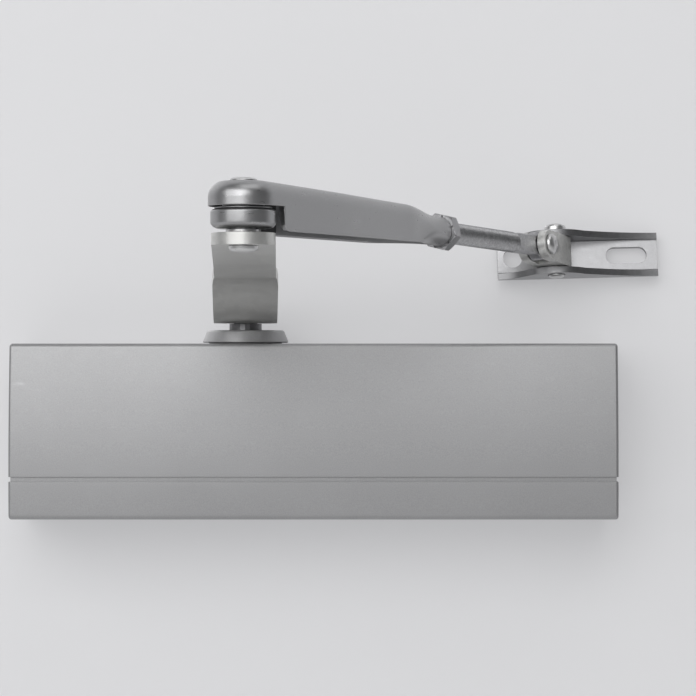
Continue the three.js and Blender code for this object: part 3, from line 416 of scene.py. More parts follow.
# %% [markdown]
# ## Making pieces
#
# Turned parts are lathe profiles, pressed and milled parts are outlines given a thickness and then cut. Two
# finishing steps make them look real: a Bevel, because no real edge is sharp, and Weighted Normals, which
# keep the flats flat beside the bevels. Both modifiers are applied, so a finished piece is a plain mesh.

# %% Mesh helpers


def mesh_object(name, mesh_data):
    piece = bpy.data.objects.new(name, mesh_data)
    bpy.context.scene.collection.objects.link(piece)
    return piece


def as_object(name, shape):
    mesh_data = bpy.data.meshes.new(name)
    shape.to_mesh(mesh_data)
    shape.free()
    return mesh_object(name, mesh_data)


def from_bmesh(name, shape):
    """A new object from a bmesh whose doubles are merged and whose faces point outwards."""
    bmesh.ops.remove_doubles(shape, verts=shape.verts, dist=1e-4)
    bmesh.ops.recalc_face_normals(shape, faces=shape.faces)
    return as_object(name, shape)


def turned(name, profile, segments=96):
    """Spins [radius, height] points about Z. The profile starts and ends on the axis or closes on itself."""
    shape = bmesh.new()
    rings = []
    for radius, height in profile:
        if radius < 1e-6:
            rings.append([shape.verts.new((0, 0, height))] * segments)
            continue
        ring = []
        for i in range(segments):
            angle = 2 * math.pi * i / segments
            ring.append(shape.verts.new((radius * math.cos(angle), radius * math.sin(angle), height)))
        rings.append(ring)
    for low, high in zip(rings, rings[1:]):
        for i in range(segments):
            j = (i + 1) % segments
            corners = [low[i], low[j], high[j], high[i]]
            distinct = [v for k, v in enumerate(corners) if v not in corners[:k]]
            if len(distinct) > 2:
                shape.faces.new(distinct)
    return from_bmesh(name, shape)


def tube(name, inner, outer, bottom, top, segments=96):
    profile = [(inner, bottom), (outer, bottom), (outer, top), (inner, top), (inner, bottom)]
    return turned(name, profile, segments)


def disc(name, radius, bottom, top, segments=96):
    return turned(name, [(0, bottom), (radius, bottom), (radius, top), (0, top)], segments)


def prism(name, outline, bottom, top):
    """A flat outline in X and Y, given a thickness along Z."""
    shape = bmesh.new()
    low = [shape.verts.new((x, y, bottom)) for x, y in outline]
    high = [shape.verts.new((x, y, top)) for x, y in outline]
    shape.faces.new(low)
    shape.faces.new(high)
    for i in range(len(outline)):
        j = (i + 1) % len(outline)
        shape.faces.new((low[i], low[j], high[j], high[i]))
    return from_bmesh(name, shape)


def cylinder(matrix, radius, low, high, segments=96):
    """A plain cylinder along the Z of a frame, to add or to cut with."""
    return moved(disc("cylinder", radius, low, high, segments), matrix)


def block(name, x, y, z):
    """A block between pairs of limits, used only to cut with."""
    return prism(name, [(x[0], y[0]), (x[1], y[0]), (x[1], y[1]), (x[0], y[1])], z[0], z[1])


def arc(centre_x, centre_y, radius, start, end, steps=16):
    """Points along an arc, from start to end in degrees."""
    points = []
    for i in range(steps + 1):
        angle = math.radians(start + (end - start) * i / steps)
        points.append((centre_x + radius * math.cos(angle), centre_y + radius * math.sin(angle)))
    return points


def hexagon(corner):
    """A hexagon whose corners lie at the radius corner. Its flats are sqrt(3) times that radius apart."""
    angles = [math.radians(60 * i) for i in range(6)]
    return [(corner * math.cos(a), corner * math.sin(a)) for a in angles]


def link_outline(x0, radius0, x1, radius1, steps=32):
    """Two round ends joined by straight sides."""
    lean = math.degrees(math.asin((radius0 - radius1) / (x1 - x0)))
    left = arc(x0, 0, radius0, 90 - lean, 270 + lean, steps)
    return left + arc(x1, 0, radius1, -90 + lean, 90 - lean, steps)


# %% [markdown]
# ### Cutting, bevelling and putting in place
#
# `carve` runs exact booleans and throws the cutters away. `moved` bakes a matrix into a mesh, so that the
# object itself stays at the origin. `fitted` is the last step for each piece: weighted normals, place,
# material, body.

# %% Finishing helpers


def applied(piece):
    """Replaces the piece's mesh with its evaluated one and drops the modifiers."""
    depsgraph = bpy.context.evaluated_depsgraph_get()
    baked = bpy.data.meshes.new_from_object(piece.evaluated_get(depsgraph))
    piece.modifiers.clear()
    piece.data = baked
    return piece


def moved(piece, matrix):
    piece.data.transform(matrix)
    piece.data.update()
    return piece


def carve(piece, cutters, operation="DIFFERENCE"):
    for cutter in cutters:
        modifier = piece.modifiers.new("carve", "BOOLEAN")
        modifier.operation = operation
        modifier.object = cutter
        modifier.solver = "EXACT"
    applied(piece)
    for cutter in cutters:
        bpy.data.objects.remove(cutter)
    return piece


def eased(piece, size, segments=3, angle=28):
    """Rounds the edges that turn by more than angle, by a size in mm, before the piece is moved into place."""
    modifier = piece.modifiers.new("edges", "BEVEL")
    modifier.width = size
    modifier.segments = segments
    modifier.limit_method = "ANGLE"
    modifier.angle_limit = math.radians(angle)
    modifier.use_clamp_overlap = True
    return applied(piece)


def smooth(piece, angle=35):
    """Smooth shading, with real corners kept sharp and flats kept flat."""
    shape = bmesh.new()
    shape.from_mesh(piece.data)
    for face in shape.faces:
        face.smooth = True
    for edge in shape.edges:
        if len(edge.link_faces) == 2 and edge.calc_face_angle(0) > math.radians(angle):
            edge.smooth = False
    shape.to_mesh(piece.data)
    shape.free()
    modifier = piece.modifiers.new("flat normals", "WEIGHTED_NORMAL")
    modifier.keep_sharp = True
    return applied(piece)


def mark_cuts_and_shade(piece, is_darkened):
    """Notes, face by face, where a sheet was cut or punched, or lies inside in shade. Those faces are drawn
    darker: a cut edge is really darker, and the inside gets painted shade.
    """
    layer = piece.data.attributes.new("cut_edge_and_shade", "FLOAT", "FACE")
    for face in piece.data.polygons:
        layer.data[face.index].value = 1.0 if is_darkened(face.normal, face.center) else 0.0
    return piece


def fitted(piece, matrix, body, slot, node, material=None):
    """Moves a finished piece into place, dresses it, and hands it to the frame in a CAD node's stead."""
    smooth(piece)
    moved(piece, matrix)
    piece.data.materials.clear()
    piece.data.materials.append(material or finish_of_slot[slot])
    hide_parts(node)
    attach(piece, body)
    return piece


# %% [markdown]
# ## The cover
#
# The cover is a deep tray, open at the back. Its front is gently convex from top to bottom, which is why it
# is bright at the top and darkens downwards. The section is drawn once, in Y and Z, and pulled along X. A
# groove runs round it near the lower edge. The piece is hollowed by cutting with the same section, drawn in
# by the wall.

# %% Cover
FRONT_RADIUS = 360.0
FRONT_CROWN = -17.0
GROOVE_TOP = -17.1
GROOVE_WIDTH = 1.9
GROOVE_DEPTH = 0.8
COVER_WALL = 2.2
NOTCH_RADIUS = 14.3
cover_half = width("cover") / 2
spindle_x = spindle_point.x / MM
spindle_y = spindle_point.y / MM


def cover_section(inset, edge, back):
    """The cover's outline in (Y, Z), drawn in by inset, with its two front edges rounded by edge."""
    radius = FRONT_RADIUS - inset
    centre = FRONT_RADIUS - cover_front
    low = cover_low + inset
    high = cover_high - inset

    def front(height):
        return centre - math.sqrt(radius ** 2 - (height - FRONT_CROWN) ** 2)

    points = [(back, high)]
    points += arc(front(high - edge) + edge, high - edge, edge, 90, 180, 8)
    steps = 40
    for i in range(1, steps):
        height = high - edge - (high - low - 2 * edge) * i / steps
        points.append((front(height), height))
    points += arc(front(low + edge) + edge, low + edge, edge, 180, 270, 8)
    return points + [(back, low)]


def cover_block(name, inset, edge, back):
    half = cover_half - inset
    section = cover_section(inset, edge, back)
    return moved(prism(name, section, -half, half), LENGTHWAYS)


def make_cover():
    shell = cover_block("cover_shell", 0, 1.8, -cover_back)
    shell = eased(shell, 1.1, 4, 60)
    band = block("band", (-200, 200), (-90, 20), (GROOVE_TOP - GROOVE_WIDTH, GROOVE_TOP))
    carve(band, [cover_block("band_core", GROOVE_DEPTH, 0.5, 30)])
    slot = link_outline(0, NOTCH_RADIUS, 60, NOTCH_RADIUS)
    notch = prism("notch", slot, cover_high - COVER_WALL - 1, cover_high + 1)
    moved(notch, shift(spindle_x, spindle_y) @ Matrix.Rotation(math.pi / 2, 4, "Z"))
    carve(shell, [cover_block("hollow", COVER_WALL, 0.8, 30), band, notch])
    return eased(shell, 0.18, 2, 35)


cover = fitted(make_cover(), IN_BODY, "cover", "cover_paint", "cover")
print("cover:", len(cover.data.polygons), "faces")

# %% [markdown]
# ## The collar and the arm's screw
#
# The collar is a low cone that hides the gland nut. It and the screw are turned parts, so each is one
# profile. The screw's head then gets its hexagon socket. The spindle's neck between them keeps its CAD
# solid.

# %% Collar, arm screw and washer


def make_collar():
    profile = [
        (6.65, collar_bottom), (13.3, collar_bottom), (13.3, collar_bottom - 2.2), (14.0, collar_bottom - 2.2),
        (14.0, collar_bottom), (16.1, collar_bottom), (16.5, collar_bottom + 0.35),
        (15.0, collar_top - 0.7), (14.75, collar_top - 0.3), (14.3, collar_top),
        (7.6, collar_top), (7.3, collar_top - 0.3), (6.65, collar_top - 0.3), (6.65, collar_bottom),
    ]
    return eased(turned("collar", profile), 0.15, 2)


fitted(make_collar(), AT_SPINDLE, "closer_body", "collar_polymer", "spindle_collar")

screw_low, screw_high = heights("arm_screw")
KEY_CORNER = 2.9


def make_arm_screw():
    head = screw_high - 4
    profile = [
        (0, screw_low), (2.4, screw_low), (2.9, screw_low + 0.5), (2.9, head), (6.5, head),
        (6.5, screw_high - 0.6), (5.9, screw_high), (0, screw_high),
    ]
    key = prism("key", hexagon(KEY_CORNER), screw_high - 2.8, screw_high + 1)
    return eased(carve(turned("arm_screw_head", profile), [key]), 0.15, 2)


fitted(make_arm_screw(), ON_ARM, "spindle_arm", "zinc_plate", "arm_screw")


def washer(name, node, inner, outer, matrix, slot):
    low, high = heights(node)
    fitted(eased(tube(name, inner, outer, low, high), 0.2, 2), matrix, "spindle_arm", slot, node)


washer("arm_washer", "arm_screw_washer", 3.2, 8, ON_ARM, "zinc_plate")

# %% [markdown]
# ## The main arm
#
# A flat steel bar, forged into an S near the spindle so that its tip rides above the cover. Its underside
# is a smooth rule along its length, and its plan is a taper between two round ends. The bar is drawn from
# the side, then trimmed to its plan.

# %% Main arm
ARM_THICKNESS = 3.8
ARM_HUB = 12.0
ARM_EYE = 10.0
ARM_SEAT = heights("main_arm")[0]
ARM_TIP = heights("main_arm")[1] - ARM_THICKNESS
ARM_SHELF = 57.1
ARM_UPPER = 60.6
FIRST_RISE = (12, 50)
SECOND_RISE = (63, 108)
LAST_RISE = (108, arm_length - 15)
ARM_SHOULDER = (40, 52)
ARM_SHOULDER_HALF = 12.2
ARM_WAIST_HALF = 11.3
SPINDLE_SQUARE = 4.8
RIVET_HOLE = 4.2


def share(x, limits):
    return min(1.0, max(0.0, (x - limits[0]) / (limits[1] - limits[0])))


def ease(t):
    return t * t * (3 - 2 * t)


def arm_underside(x):
    height = ARM_SEAT + (ARM_SHELF - ARM_SEAT) * ease(share(x, FIRST_RISE))
    height += (ARM_UPPER - ARM_SHELF) * ease(share(x, SECOND_RISE))
    return height + (ARM_TIP - ARM_UPPER) * share(x, LAST_RISE)


def make_main_arm():
    low, high = [], []
    steps = 110
    start, end = -ARM_HUB - 1, arm_length + ARM_EYE + 1
    for i in range(steps + 1):
        x = start + (end - start) * i / steps
        slope = arm_underside(x + 0.5) - arm_underside(x - 0.5)
        low.append((x, arm_underside(x)))
        high.append((x, arm_underside(x) + ARM_THICKNESS * math.hypot(1, slope)))
    bar = moved(prism("bar", low + high[::-1], -20, 20), ACROSS)
    outline = arc(0, 0, ARM_HUB, 90, 270, 48)
    outline += [(ARM_SHOULDER[0], -ARM_SHOULDER_HALF), (ARM_SHOULDER[1], -ARM_WAIST_HALF)]
    outline += arc(arm_length, 0, ARM_EYE, -90, 90, 48)
    outline += [(ARM_SHOULDER[1], ARM_WAIST_HALF), (ARM_SHOULDER[0], ARM_SHOULDER_HALF)]
    plan = prism("plan", outline, ARM_SEAT - 10, ARM_TIP + 10)
    carve(bar, [plan], "INTERSECT")
    flats = (-SPINDLE_SQUARE, SPINDLE_SQUARE)
    square = block("square", flats, flats, (ARM_SEAT - 5, ARM_SEAT + 10))
    eye = cylinder(shift(arm_length), RIVET_HOLE, ARM_TIP - 5, ARM_TIP + 10)
    return eased(carve(bar, [square, eye]), 0.45, 3, 40)


main_arm = fitted(make_main_arm(), ON_ARM, "spindle_arm", "arm_paint", "main_arm", bar_steel)
print("main arm:", len(main_arm.data.polygons), "faces")

# %% [markdown]
# ## The elbow
#
# From below: a rivet head, the arm's eye, a washer, a thick spacer disc, a thin bright washer and the
# forearm's eye, held by one rivet. The heights come from the CAD boxes, and the profiles add the chamfers
# and domes.

# %% Elbow stack
rivet_low, rivet_high = heights("elbow_rivet")
disc_low, disc_high = heights("elbow_disc")


def make_elbow_rivet():
    head = ARM_TIP - 0.2
    top = rivet_high - 1
    profile = [(0, rivet_low), (2.4, rivet_low + 0.05), (3.9, rivet_low + 0.45), (4.5, rivet_low + 1.1)]
    profile += [(4.65, head), (3.9, head), (3.9, top), (4.45, top), (4.3, top + 0.35)]
    profile += [(3.4, top + 0.75), (1.9, top + 0.95), (0, top + 1)]
    return eased(turned("elbow_rivet_body", profile), 0.12, 2)


def make_elbow_disc():
    profile = [
        (RIVET_HOLE, disc_low), (8.3, disc_low), (9.4, disc_low + 0.5), (10.1, disc_low + 1.3),
        (10.25, disc_low + 1.8), (10.25, disc_high - 0.7), (10.0, disc_high - 0.25), (9.6, disc_high),
        (RIVET_HOLE, disc_high), (RIVET_HOLE, disc_low),
    ]
    return eased(turned("elbow_spacer", profile), 0.15, 2)


fitted(make_elbow_rivet(), AT_ELBOW, "spindle_arm", "bright_steel", "elbow_rivet")
fitted(make_elbow_disc(), AT_ELBOW, "spindle_arm", "arm_paint", "elbow_disc")
washer("elbow_washer_lower", "elbow_washer", RIVET_HOLE, width("elbow_washer") / 2, AT_ELBOW, "bright_steel")
washer("elbow_washer_upper", "elbow_top_washer", RIVET_HOLE, 9, AT_ELBOW, "zinc_plate")
washer("elbow_bush_ring", "elbow_bush", RIVET_HOLE, 6.6, AT_ELBOW, "bright_steel")

# %% [markdown]
# ## The forearm
#
# The forearm is pressed from one sheet: a broad channel, open below, whose eye is closed round the elbow,
# and whose far end is rolled into a tube for the rod. It is made as one skin. A path runs round its plan,
# down one side, round the eye and back, and at each step the same profile is drawn: foot, wall, round
# shoulder, top. The skin is then given the sheet's thickness.
# Near the eye, the faces under the top and facing inwards get painted shade: they are drawn darker.

# %% Forearm
LOBE_RADIUS = 11.0
SHOULDER = 5.0
CHANNEL_FLOOR = 67.7
LOBE_FLOOR = heights("elbow_top_washer")[1] + 0.2
SKIRT_START = 7.0
SHEET = 2.4
TUBE_RADIUS = 5.2
TUBE_START = 127.0
TAPER_START = 94.0
TAPER_TOP = 80.9
FOREARM_TOP = heights("forearm")[1]
FOREARM_MID = (50, 82.0)
FOREARM_SLIM = 9.6
SLIM_FROM = 40
SKIRT_CORNER = 3
FOREARM_STEPS = 120
EYE_STEPS = 40
TUBE_SHARE = 0.42
# How far from the eye the inside of the channel gets painted shade.
PAINTED_SHADE_TO = 34.0
FOOT_ROLL = 0.25


def mix(a, b, t):
    return a + (b - a) * t


def rod_line(x):
    """Height of the rod's axis, which falls slightly towards the shoe."""
    return rod_height + fall * (x - TUBE_END)


def forearm_width(x):
    slim = mix(LOBE_RADIUS, FOREARM_SLIM, ease(share(x, (SLIM_FROM, TAPER_START))))
    return mix(slim, TUBE_RADIUS, ease(share(x, (TAPER_START, TUBE_START))))


def forearm_top(x):
    along = mix(FOREARM_TOP, FOREARM_MID[1], share(x, (0, FOREARM_MID[0])))
    along += (TAPER_TOP - FOREARM_MID[1]) * share(x, (FOREARM_MID[0], TAPER_START))
    return mix(along, rod_line(x) + TUBE_RADIUS, ease(share(x, (TAPER_START, TUBE_START))))


def forearm_foot(x):
    """How far the lower edges are rolled in: nothing on the channel, the tube's whole radius on the tube."""
    return mix(FOOT_ROLL, TUBE_RADIUS, ease(share(x, (TAPER_START + 4, TUBE_START))))


def forearm_floor(x):
    floor = mix(CHANNEL_FLOOR, rod_line(x) - TUBE_RADIUS, ease(share(x, (TAPER_START, TUBE_START))))
    corner = share(x, (SKIRT_START, SKIRT_START + SKIRT_CORNER))
    raised = SKIRT_CORNER * (1 - math.sqrt(1 - (1 - corner) ** 2))
    return LOBE_FLOOR if x < SKIRT_START else max(floor, floor + raised)


def forearm_profile(x, inward, on_eye):
    """Points from foot to crown at one step of the path. inward is how far the crown lies from the wall."""
    top = forearm_top(x)
    floor = LOBE_FLOOR if on_eye else forearm_floor(x)
    foot = FOOT_ROLL if on_eye else forearm_foot(x)
    shoulder = min(SHOULDER, mix(SHOULDER, TUBE_RADIUS, share(x, (TAPER_START, TUBE_START))), inward)
    points = []
    for i in range(7):
        angle = math.pi / 2 * i / 6
        points.append((foot - foot * math.sin(angle), floor + foot - foot * math.cos(angle)))
    for i in range(1, 5):
        points.append((0, mix(floor + foot, top - shoulder, i / 5)))
    for i in range(13):
        angle = math.pi / 2 * i / 12
        points.append((shoulder - shoulder * math.cos(angle), top - shoulder + shoulder * math.sin(angle)))
    for i in range(1, 5):
        points.append((mix(shoulder, inward, i / 4), top))
    return points


def make_forearm():
    stations = [i * TUBE_END / FOREARM_STEPS for i in range(1, FOREARM_STEPS + 1)]
    stations = sorted(stations + [SKIRT_START + 0.01, SKIRT_START - 0.01], reverse=True)
    shape = bmesh.new()
    columns = []

    def add_side(places, side):
        for x in places:
            half = forearm_width(x)
            profile = forearm_profile(x, half, False)
            columns.append([shape.verts.new((x, side * (half - inset), height)) for inset, height in profile])

    add_side(stations, 1)
    eye_profile = forearm_profile(0.0, LOBE_RADIUS, True)
    for i in range(EYE_STEPS + 1):
        angle = math.pi * i / EYE_STEPS
        column = []
        for inset, height in eye_profile:
            reach = LOBE_RADIUS - inset
            column.append(shape.verts.new((-reach * math.sin(angle), reach * math.cos(angle), height)))
        columns.append(column)
    add_side(reversed(stations), -1)
    for left, right in zip(columns, columns[1:]):
        for i in range(len(left) - 1):
            shape.faces.new((left[i], left[i + 1], right[i + 1], right[i]))
    bmesh.ops.remove_doubles(shape, verts=shape.verts, dist=1e-4)
    bmesh.ops.recalc_face_normals(shape, faces=shape.faces)
    upward = sum(face.normal.z for face in shape.faces if face.calc_center_median().z > forearm_top(40) - 1)
    if upward < 0:
        bmesh.ops.reverse_faces(shape, faces=shape.faces)
    skin = as_object("forearm_channel", shape)
    weights = skin.vertex_groups.new(name="sheet")
    for vertex in skin.data.vertices:
        thin = share(vertex.co.x, (TAPER_START, TUBE_START))
        weights.add([vertex.index], mix(1.0, TUBE_SHARE, thin), "REPLACE")
    solid = skin.modifiers.new("sheet", "SOLIDIFY")
    solid.thickness = SHEET
    solid.offset = -1
    solid.vertex_group = "sheet"
    solid.use_even_offset = False
    applied(skin)
    skin.vertex_groups.clear()
    hole = disc("rivet_hole", RIVET_HOLE, 70, 90)
    channel = eased(carve(skin, [hole]), 0.25, 2, 50)

    # Painted shade: faces under the top and facing inwards, near the eye, are marked to be drawn darker.
    def is_in_painted_shade(normal, centre):
        under_the_top = normal.z < -0.5 and centre.z > forearm_top(centre.x) - 4
        facing_in = normal.y * centre.y + normal.x * min(centre.x, 0.0) < -0.3 * abs(centre.y)
        return centre.x < PAINTED_SHADE_TO and (under_the_top or facing_in)

    return mark_cuts_and_shade(channel, is_in_painted_shade)


forearm = fitted(make_forearm(), ON_FOREARM, "forearm", "arm_paint", "forearm")
print("forearm:", len(forearm.data.polygons), "faces")

# %% [markdown]
# ## The adjusting rod
#
# A rolled thread follows a rule: the radius rises and falls once per pitch, shifted a little for each step
# round the rod. That is a job for Geometry Nodes. A cylinder of fine rows is made, and Set Position pulls
# each point in by a triangle wave of its height and angle. The node group has the pitch, depth and radius
# as inputs.

# %% The thread, in Geometry Nodes
THREAD_PITCH = 1.25
THREAD_DEPTH = 0.55
ROWS_PER_TURN = 8
ROD_RADIUS = 3.9
ROD_START = eye_reach - 118.7
THREAD_END = eye_reach - 22.7


def thread_tree(material):
    tree = bpy.data.node_groups.new("rolled_thread", "GeometryNodeTree")
    face = tree.interface
    sizes = {"Radius": ROD_RADIUS, "Depth": THREAD_DEPTH, "Pitch": THREAD_PITCH, "Length": 10.0}
    for title, value in sizes.items():
        socket = face.new_socket(title, in_out="INPUT", socket_type="NodeSocketFloat")
        socket.default_value = value
    for title, value in {"Sides": 48, "Rows": 100}.items():
        socket = face.new_socket(title, in_out="INPUT", socket_type="NodeSocketInt")
        socket.default_value = value
    face.new_socket("Geometry", in_out="OUTPUT", socket_type="NodeSocketGeometry")
    given = tree.nodes.new("NodeGroupInput")
    result = tree.nodes.new("NodeGroupOutput")
    rod = tree.nodes.new("GeometryNodeMeshCylinder")
    rod.fill_type = "NGON"
    tree.links.new(given.outputs["Sides"], rod.inputs["Vertices"])
    tree.links.new(given.outputs["Rows"], rod.inputs["Side Segments"])
    tree.links.new(given.outputs["Radius"], rod.inputs["Radius"])
    tree.links.new(given.outputs["Length"], rod.inputs["Depth"])
    position = tree.nodes.new("GeometryNodeInputPosition").outputs["Position"]
    parts = tree.nodes.new("ShaderNodeSeparateXYZ")
    tree.links.new(position, parts.inputs["Vector"])
    angle = maths(tree, "ARCTAN2", parts.outputs["Y"], parts.outputs["X"])
    turns = maths(tree, "DIVIDE", angle, 2 * math.pi)
    rows = maths(tree, "DIVIDE", parts.outputs["Z"], given.outputs["Pitch"])
    phase = maths(tree, "FRACT", maths(tree, "SUBTRACT", rows, turns))
    wave = maths(tree, "ABSOLUTE", maths(tree, "MULTIPLY_ADD", phase, 2.0, -1.0))
    cut = maths(tree, "MULTIPLY", wave, given.outputs["Depth"])
    factor = maths(tree, "SUBTRACT", 1.0, maths(tree, "DIVIDE", cut, given.outputs["Radius"]))
    scaled = tree.nodes.new("ShaderNodeCombineXYZ")
    tree.links.new(maths(tree, "MULTIPLY", parts.outputs["X"], factor), scaled.inputs["X"])
    tree.links.new(maths(tree, "MULTIPLY", parts.outputs["Y"], factor), scaled.inputs["Y"])
    tree.links.new(parts.outputs["Z"], scaled.inputs["Z"])
    pushed = tree.nodes.new("GeometryNodeSetPosition")
    tree.links.new(rod.outputs["Mesh"], pushed.inputs["Geometry"])
    tree.links.new(scaled.outputs["Vector"], pushed.inputs["Position"])
    real = tree.nodes.new("GeometryNodeRealizeInstances")
    tree.links.new(pushed.outputs["Geometry"], real.inputs["Geometry"])
    dressed = tree.nodes.new("GeometryNodeSetMaterial")
    dressed.inputs["Material"].default_value = material
    tree.links.new(real.outputs["Geometry"], dressed.inputs["Geometry"])
    tree.links.new(dressed.outputs["Geometry"], result.inputs["Geometry"])
    return tree


def generated(name, tree, **values):
    """A plain mesh made by a Geometry Nodes tree with the given inputs."""
    holder = mesh_object(name, bpy.data.meshes.new(name))
    modifier = holder.modifiers.new("nodes", "NODES")
    modifier.node_group = tree
    for item in tree.interface.items_tree:
        if item.in_out == "INPUT" and item.name in values:
            modifier[item.identifier] = values[item.name]
    return applied(holder)


thread_length = THREAD_END - ROD_START
rows = int(thread_length / THREAD_PITCH * ROWS_PER_TURN)
thread = generated("threaded_rod", thread_tree(thread_steel), Length=thread_length, Rows=rows, Sides=48)
moved(thread, lengthways(shift((THREAD_END + ROD_START) / 2)))
print("thread:", len(thread.data.polygons), "faces")

# %% [markdown]
# ### The rod's flat end
#
# Past the thread the rod is squeezed flat and ends in an eye, which the fork's rivet passes through. The
# blade is an outline with an arc for the eye, and it starts inside the last turn of the thread.

# %% Rod eye and the whole rod
EYE_RADIUS = 5.5
EYE_THICKNESS = 4.6
EYE_HOLE = 2.7
NECK = 7.2


def make_rod():
    meet = math.degrees(math.asin(NECK / 2 / EYE_RADIUS))
    outline = [(THREAD_END - 2, -3.1), (THREAD_END + 2.5, -NECK / 2)]
    outline += arc(eye_reach, 0, EYE_RADIUS, 180 + meet, 540 - meet, 40)
    outline += [(THREAD_END + 2.5, NECK / 2), (THREAD_END - 2, 3.1)]
    half = EYE_THICKNESS / 2
    blade = moved(prism("blade", outline, -half, half), ACROSS)
    hole = cylinder(across(shift(eye_reach)), EYE_HOLE, -9, 9)
    eased(carve(blade, [hole]), 0.7, 4, 50)
    shoulder = turned("shoulder", [(0, THREAD_END - 3), (3.45, THREAD_END - 3), (3.5, THREAD_END - 0.5),
                                   (3.3, THREAD_END + 1.5), (2.3, THREAD_END + 4), (0, THREAD_END + 4.5)], 48)
    return carve(blade, [moved(shoulder, LENGTHWAYS)], "UNION")


def joined(name, *pieces):
    """One object from several, whose shells may overlap inside."""
    shape = bmesh.new()
    for piece in pieces:
        shape.from_mesh(piece.data)
    for piece in pieces:
        bpy.data.objects.remove(piece)
    return as_object(name, shape)


rod = joined("adjusting_rod_threaded", thread, make_rod())
fitted(rod, ON_ROD, "rod", "thread_steel", "adjusting_rod")

# %% [markdown]
# ### The lock nut
#
# A nut is a hexagon trimmed by a cone at both ends: the curved chamfer lines that every nut shows are where
# the cone meets the flats. So it is the common part of a prism and a turned blank, with a bore.

# %% Lock nut
NUT_FLATS = 12.0
NUT_TURN = 13.0
NUT_START = TUBE_END + 0.3
NUT_END = NUT_START + 5.0


def make_lock_nut():
    corner = NUT_FLATS / math.sqrt(3)
    nut = prism("lock_nut_body", hexagon(corner), NUT_START, NUT_END)
    edge = NUT_FLATS / 2 + 0.05
    blank = turned("blank", [(0, NUT_START), (edge, NUT_START), (corner, NUT_START + 0.8),
                             (corner, NUT_END - 0.8), (edge, NUT_END), (0, NUT_END)])
    carve(nut, [blank], "INTERSECT")
    carve(nut, [disc("nut_bore", 4.05, NUT_START - 1, NUT_END + 1)])
    return moved(eased(nut, 0.12, 2, 50), Matrix.Rotation(math.radians(NUT_TURN), 4, "Z"))


fitted(make_lock_nut(), lengthways(ON_NUT), "lock_nut", "zinc_plate", "lock_nut")

# %% [markdown]
# ## The swivel fork and its rivet
#
# The fork holds the rod's eye between two tabs and turns on the shoe's pin. Its outline is drawn from the
# side, round where the rivet sits and square behind. The rivet has a domed head with a shallow dish, as it
# comes out of the riveting tool.

# %% Fork and rivet
SLOT_HALF = EYE_THICKNESS / 2 + 0.3
FORK_TAB = 3.2
FORK_HALF = SLOT_HALF + FORK_TAB
PIN_HOLE = 3.4
FORK_HEIGHT = 11.7
pin_offset = (joint_point("shoe_swing") - joint_point("rod_tilt")).length / MM
FORK_END = pin_offset + 3


def make_fork():
    half = FORK_HEIGHT / 2
    outline = arc(0, 0, EYE_RADIUS, 90, 270, 32)
    outline += [(pin_offset / 2, -half), (FORK_END, -half), (FORK_END, half), (pin_offset / 2, half)]
    fork = moved(prism("fork_body", outline, -FORK_HALF, FORK_HALF), ACROSS)
    tail = prism("tail", [(-20, -FORK_HALF), (FORK_END - 1.3, -FORK_HALF), (FORK_END, -FORK_HALF + 1.3),
                          (FORK_END, FORK_HALF - 1.3), (FORK_END - 1.3, FORK_HALF), (-20, FORK_HALF)], -20, 20)
    carve(fork, [tail], "INTERSECT")
    slot = block("slot", (-20, EYE_RADIUS + 1.2), (-SLOT_HALF, SLOT_HALF), (-20, 20))
    pin_hole = cylinder(shift(pin_offset), PIN_HOLE, -20, 20)
    rivet_hole = cylinder(ACROSS, EYE_HOLE, -20, 20)
    return eased(carve(fork, [slot, pin_hole, rivet_hole]), 0.4, 3, 40)


def make_swivel_rivet():
    face = FORK_HALF + 0.2
    profile = [(0, -face - 1.1), (2.2, -face - 1.1), (3.1, -face - 0.75), (3.4, -face - 0.2), (3.4, -face)]
    profile += [(2.4, -face), (2.4, face), (4.0, face), (4.0, face + 0.5), (3.8, face + 1.0)]
    profile += [(3.2, face + 1.6), (2.3, face + 2.05), (1.3, face + 2.25), (0.7, face + 2.05), (0, face + 1.95)]
    return eased(turned("swivel_rivet_body", profile), 0.12, 2)


fitted(make_fork(), ON_SWIVEL, "swivel", "fork_steel", "swivel_fork")
fitted(make_swivel_rivet(), across(ON_SWIVEL), "swivel", "bright_steel", "swivel_rivet")

# %% [markdown]
# ## The shoe
#
# The shoe is folded from 2.5 mm sheet: a back plate with a round hole and a slot, and two flanges that rise
# round the pin and taper away to both ends. The folded channel is pulled along X and then trimmed to its
# plan.

# %% Shoe and pin
SHEET_SHOE = 2.5
SHOE_LEFT = -22.4
SHOE_RIGHT = 40.4
SHOE_BACK = 9.4
SHOE_NOSE = -5.2
SHOE_INNER = FORK_HEIGHT / 2 + 0.3
SHOE_OUTER = SHOE_INNER + SHEET_SHOE
SHOE_BEND = 2.2
SHOE_HOLE = -16.4
SHOE_HOLE_RADIUS = 3.7
SHOE_SLOT = 28.2
SHOE_SLOT_LENGTH = 16
SHOE_SLOT_WIDTH = 6.5


def curve_through(points, steps=10):
    """A smooth line through quadratic curves: each next pair of points is a handle and an end."""
    line = [points[0]]
    for handle, end in zip(points[1::2], points[2::2]):
        start = line[-1]
        for i in range(1, steps + 1):
            t = i / steps
            line.append(tuple(
                (1 - t) ** 2 * start[k] + 2 * t * (1 - t) * handle[k] + t * t * end[k] for k in range(2)
            ))
    return line


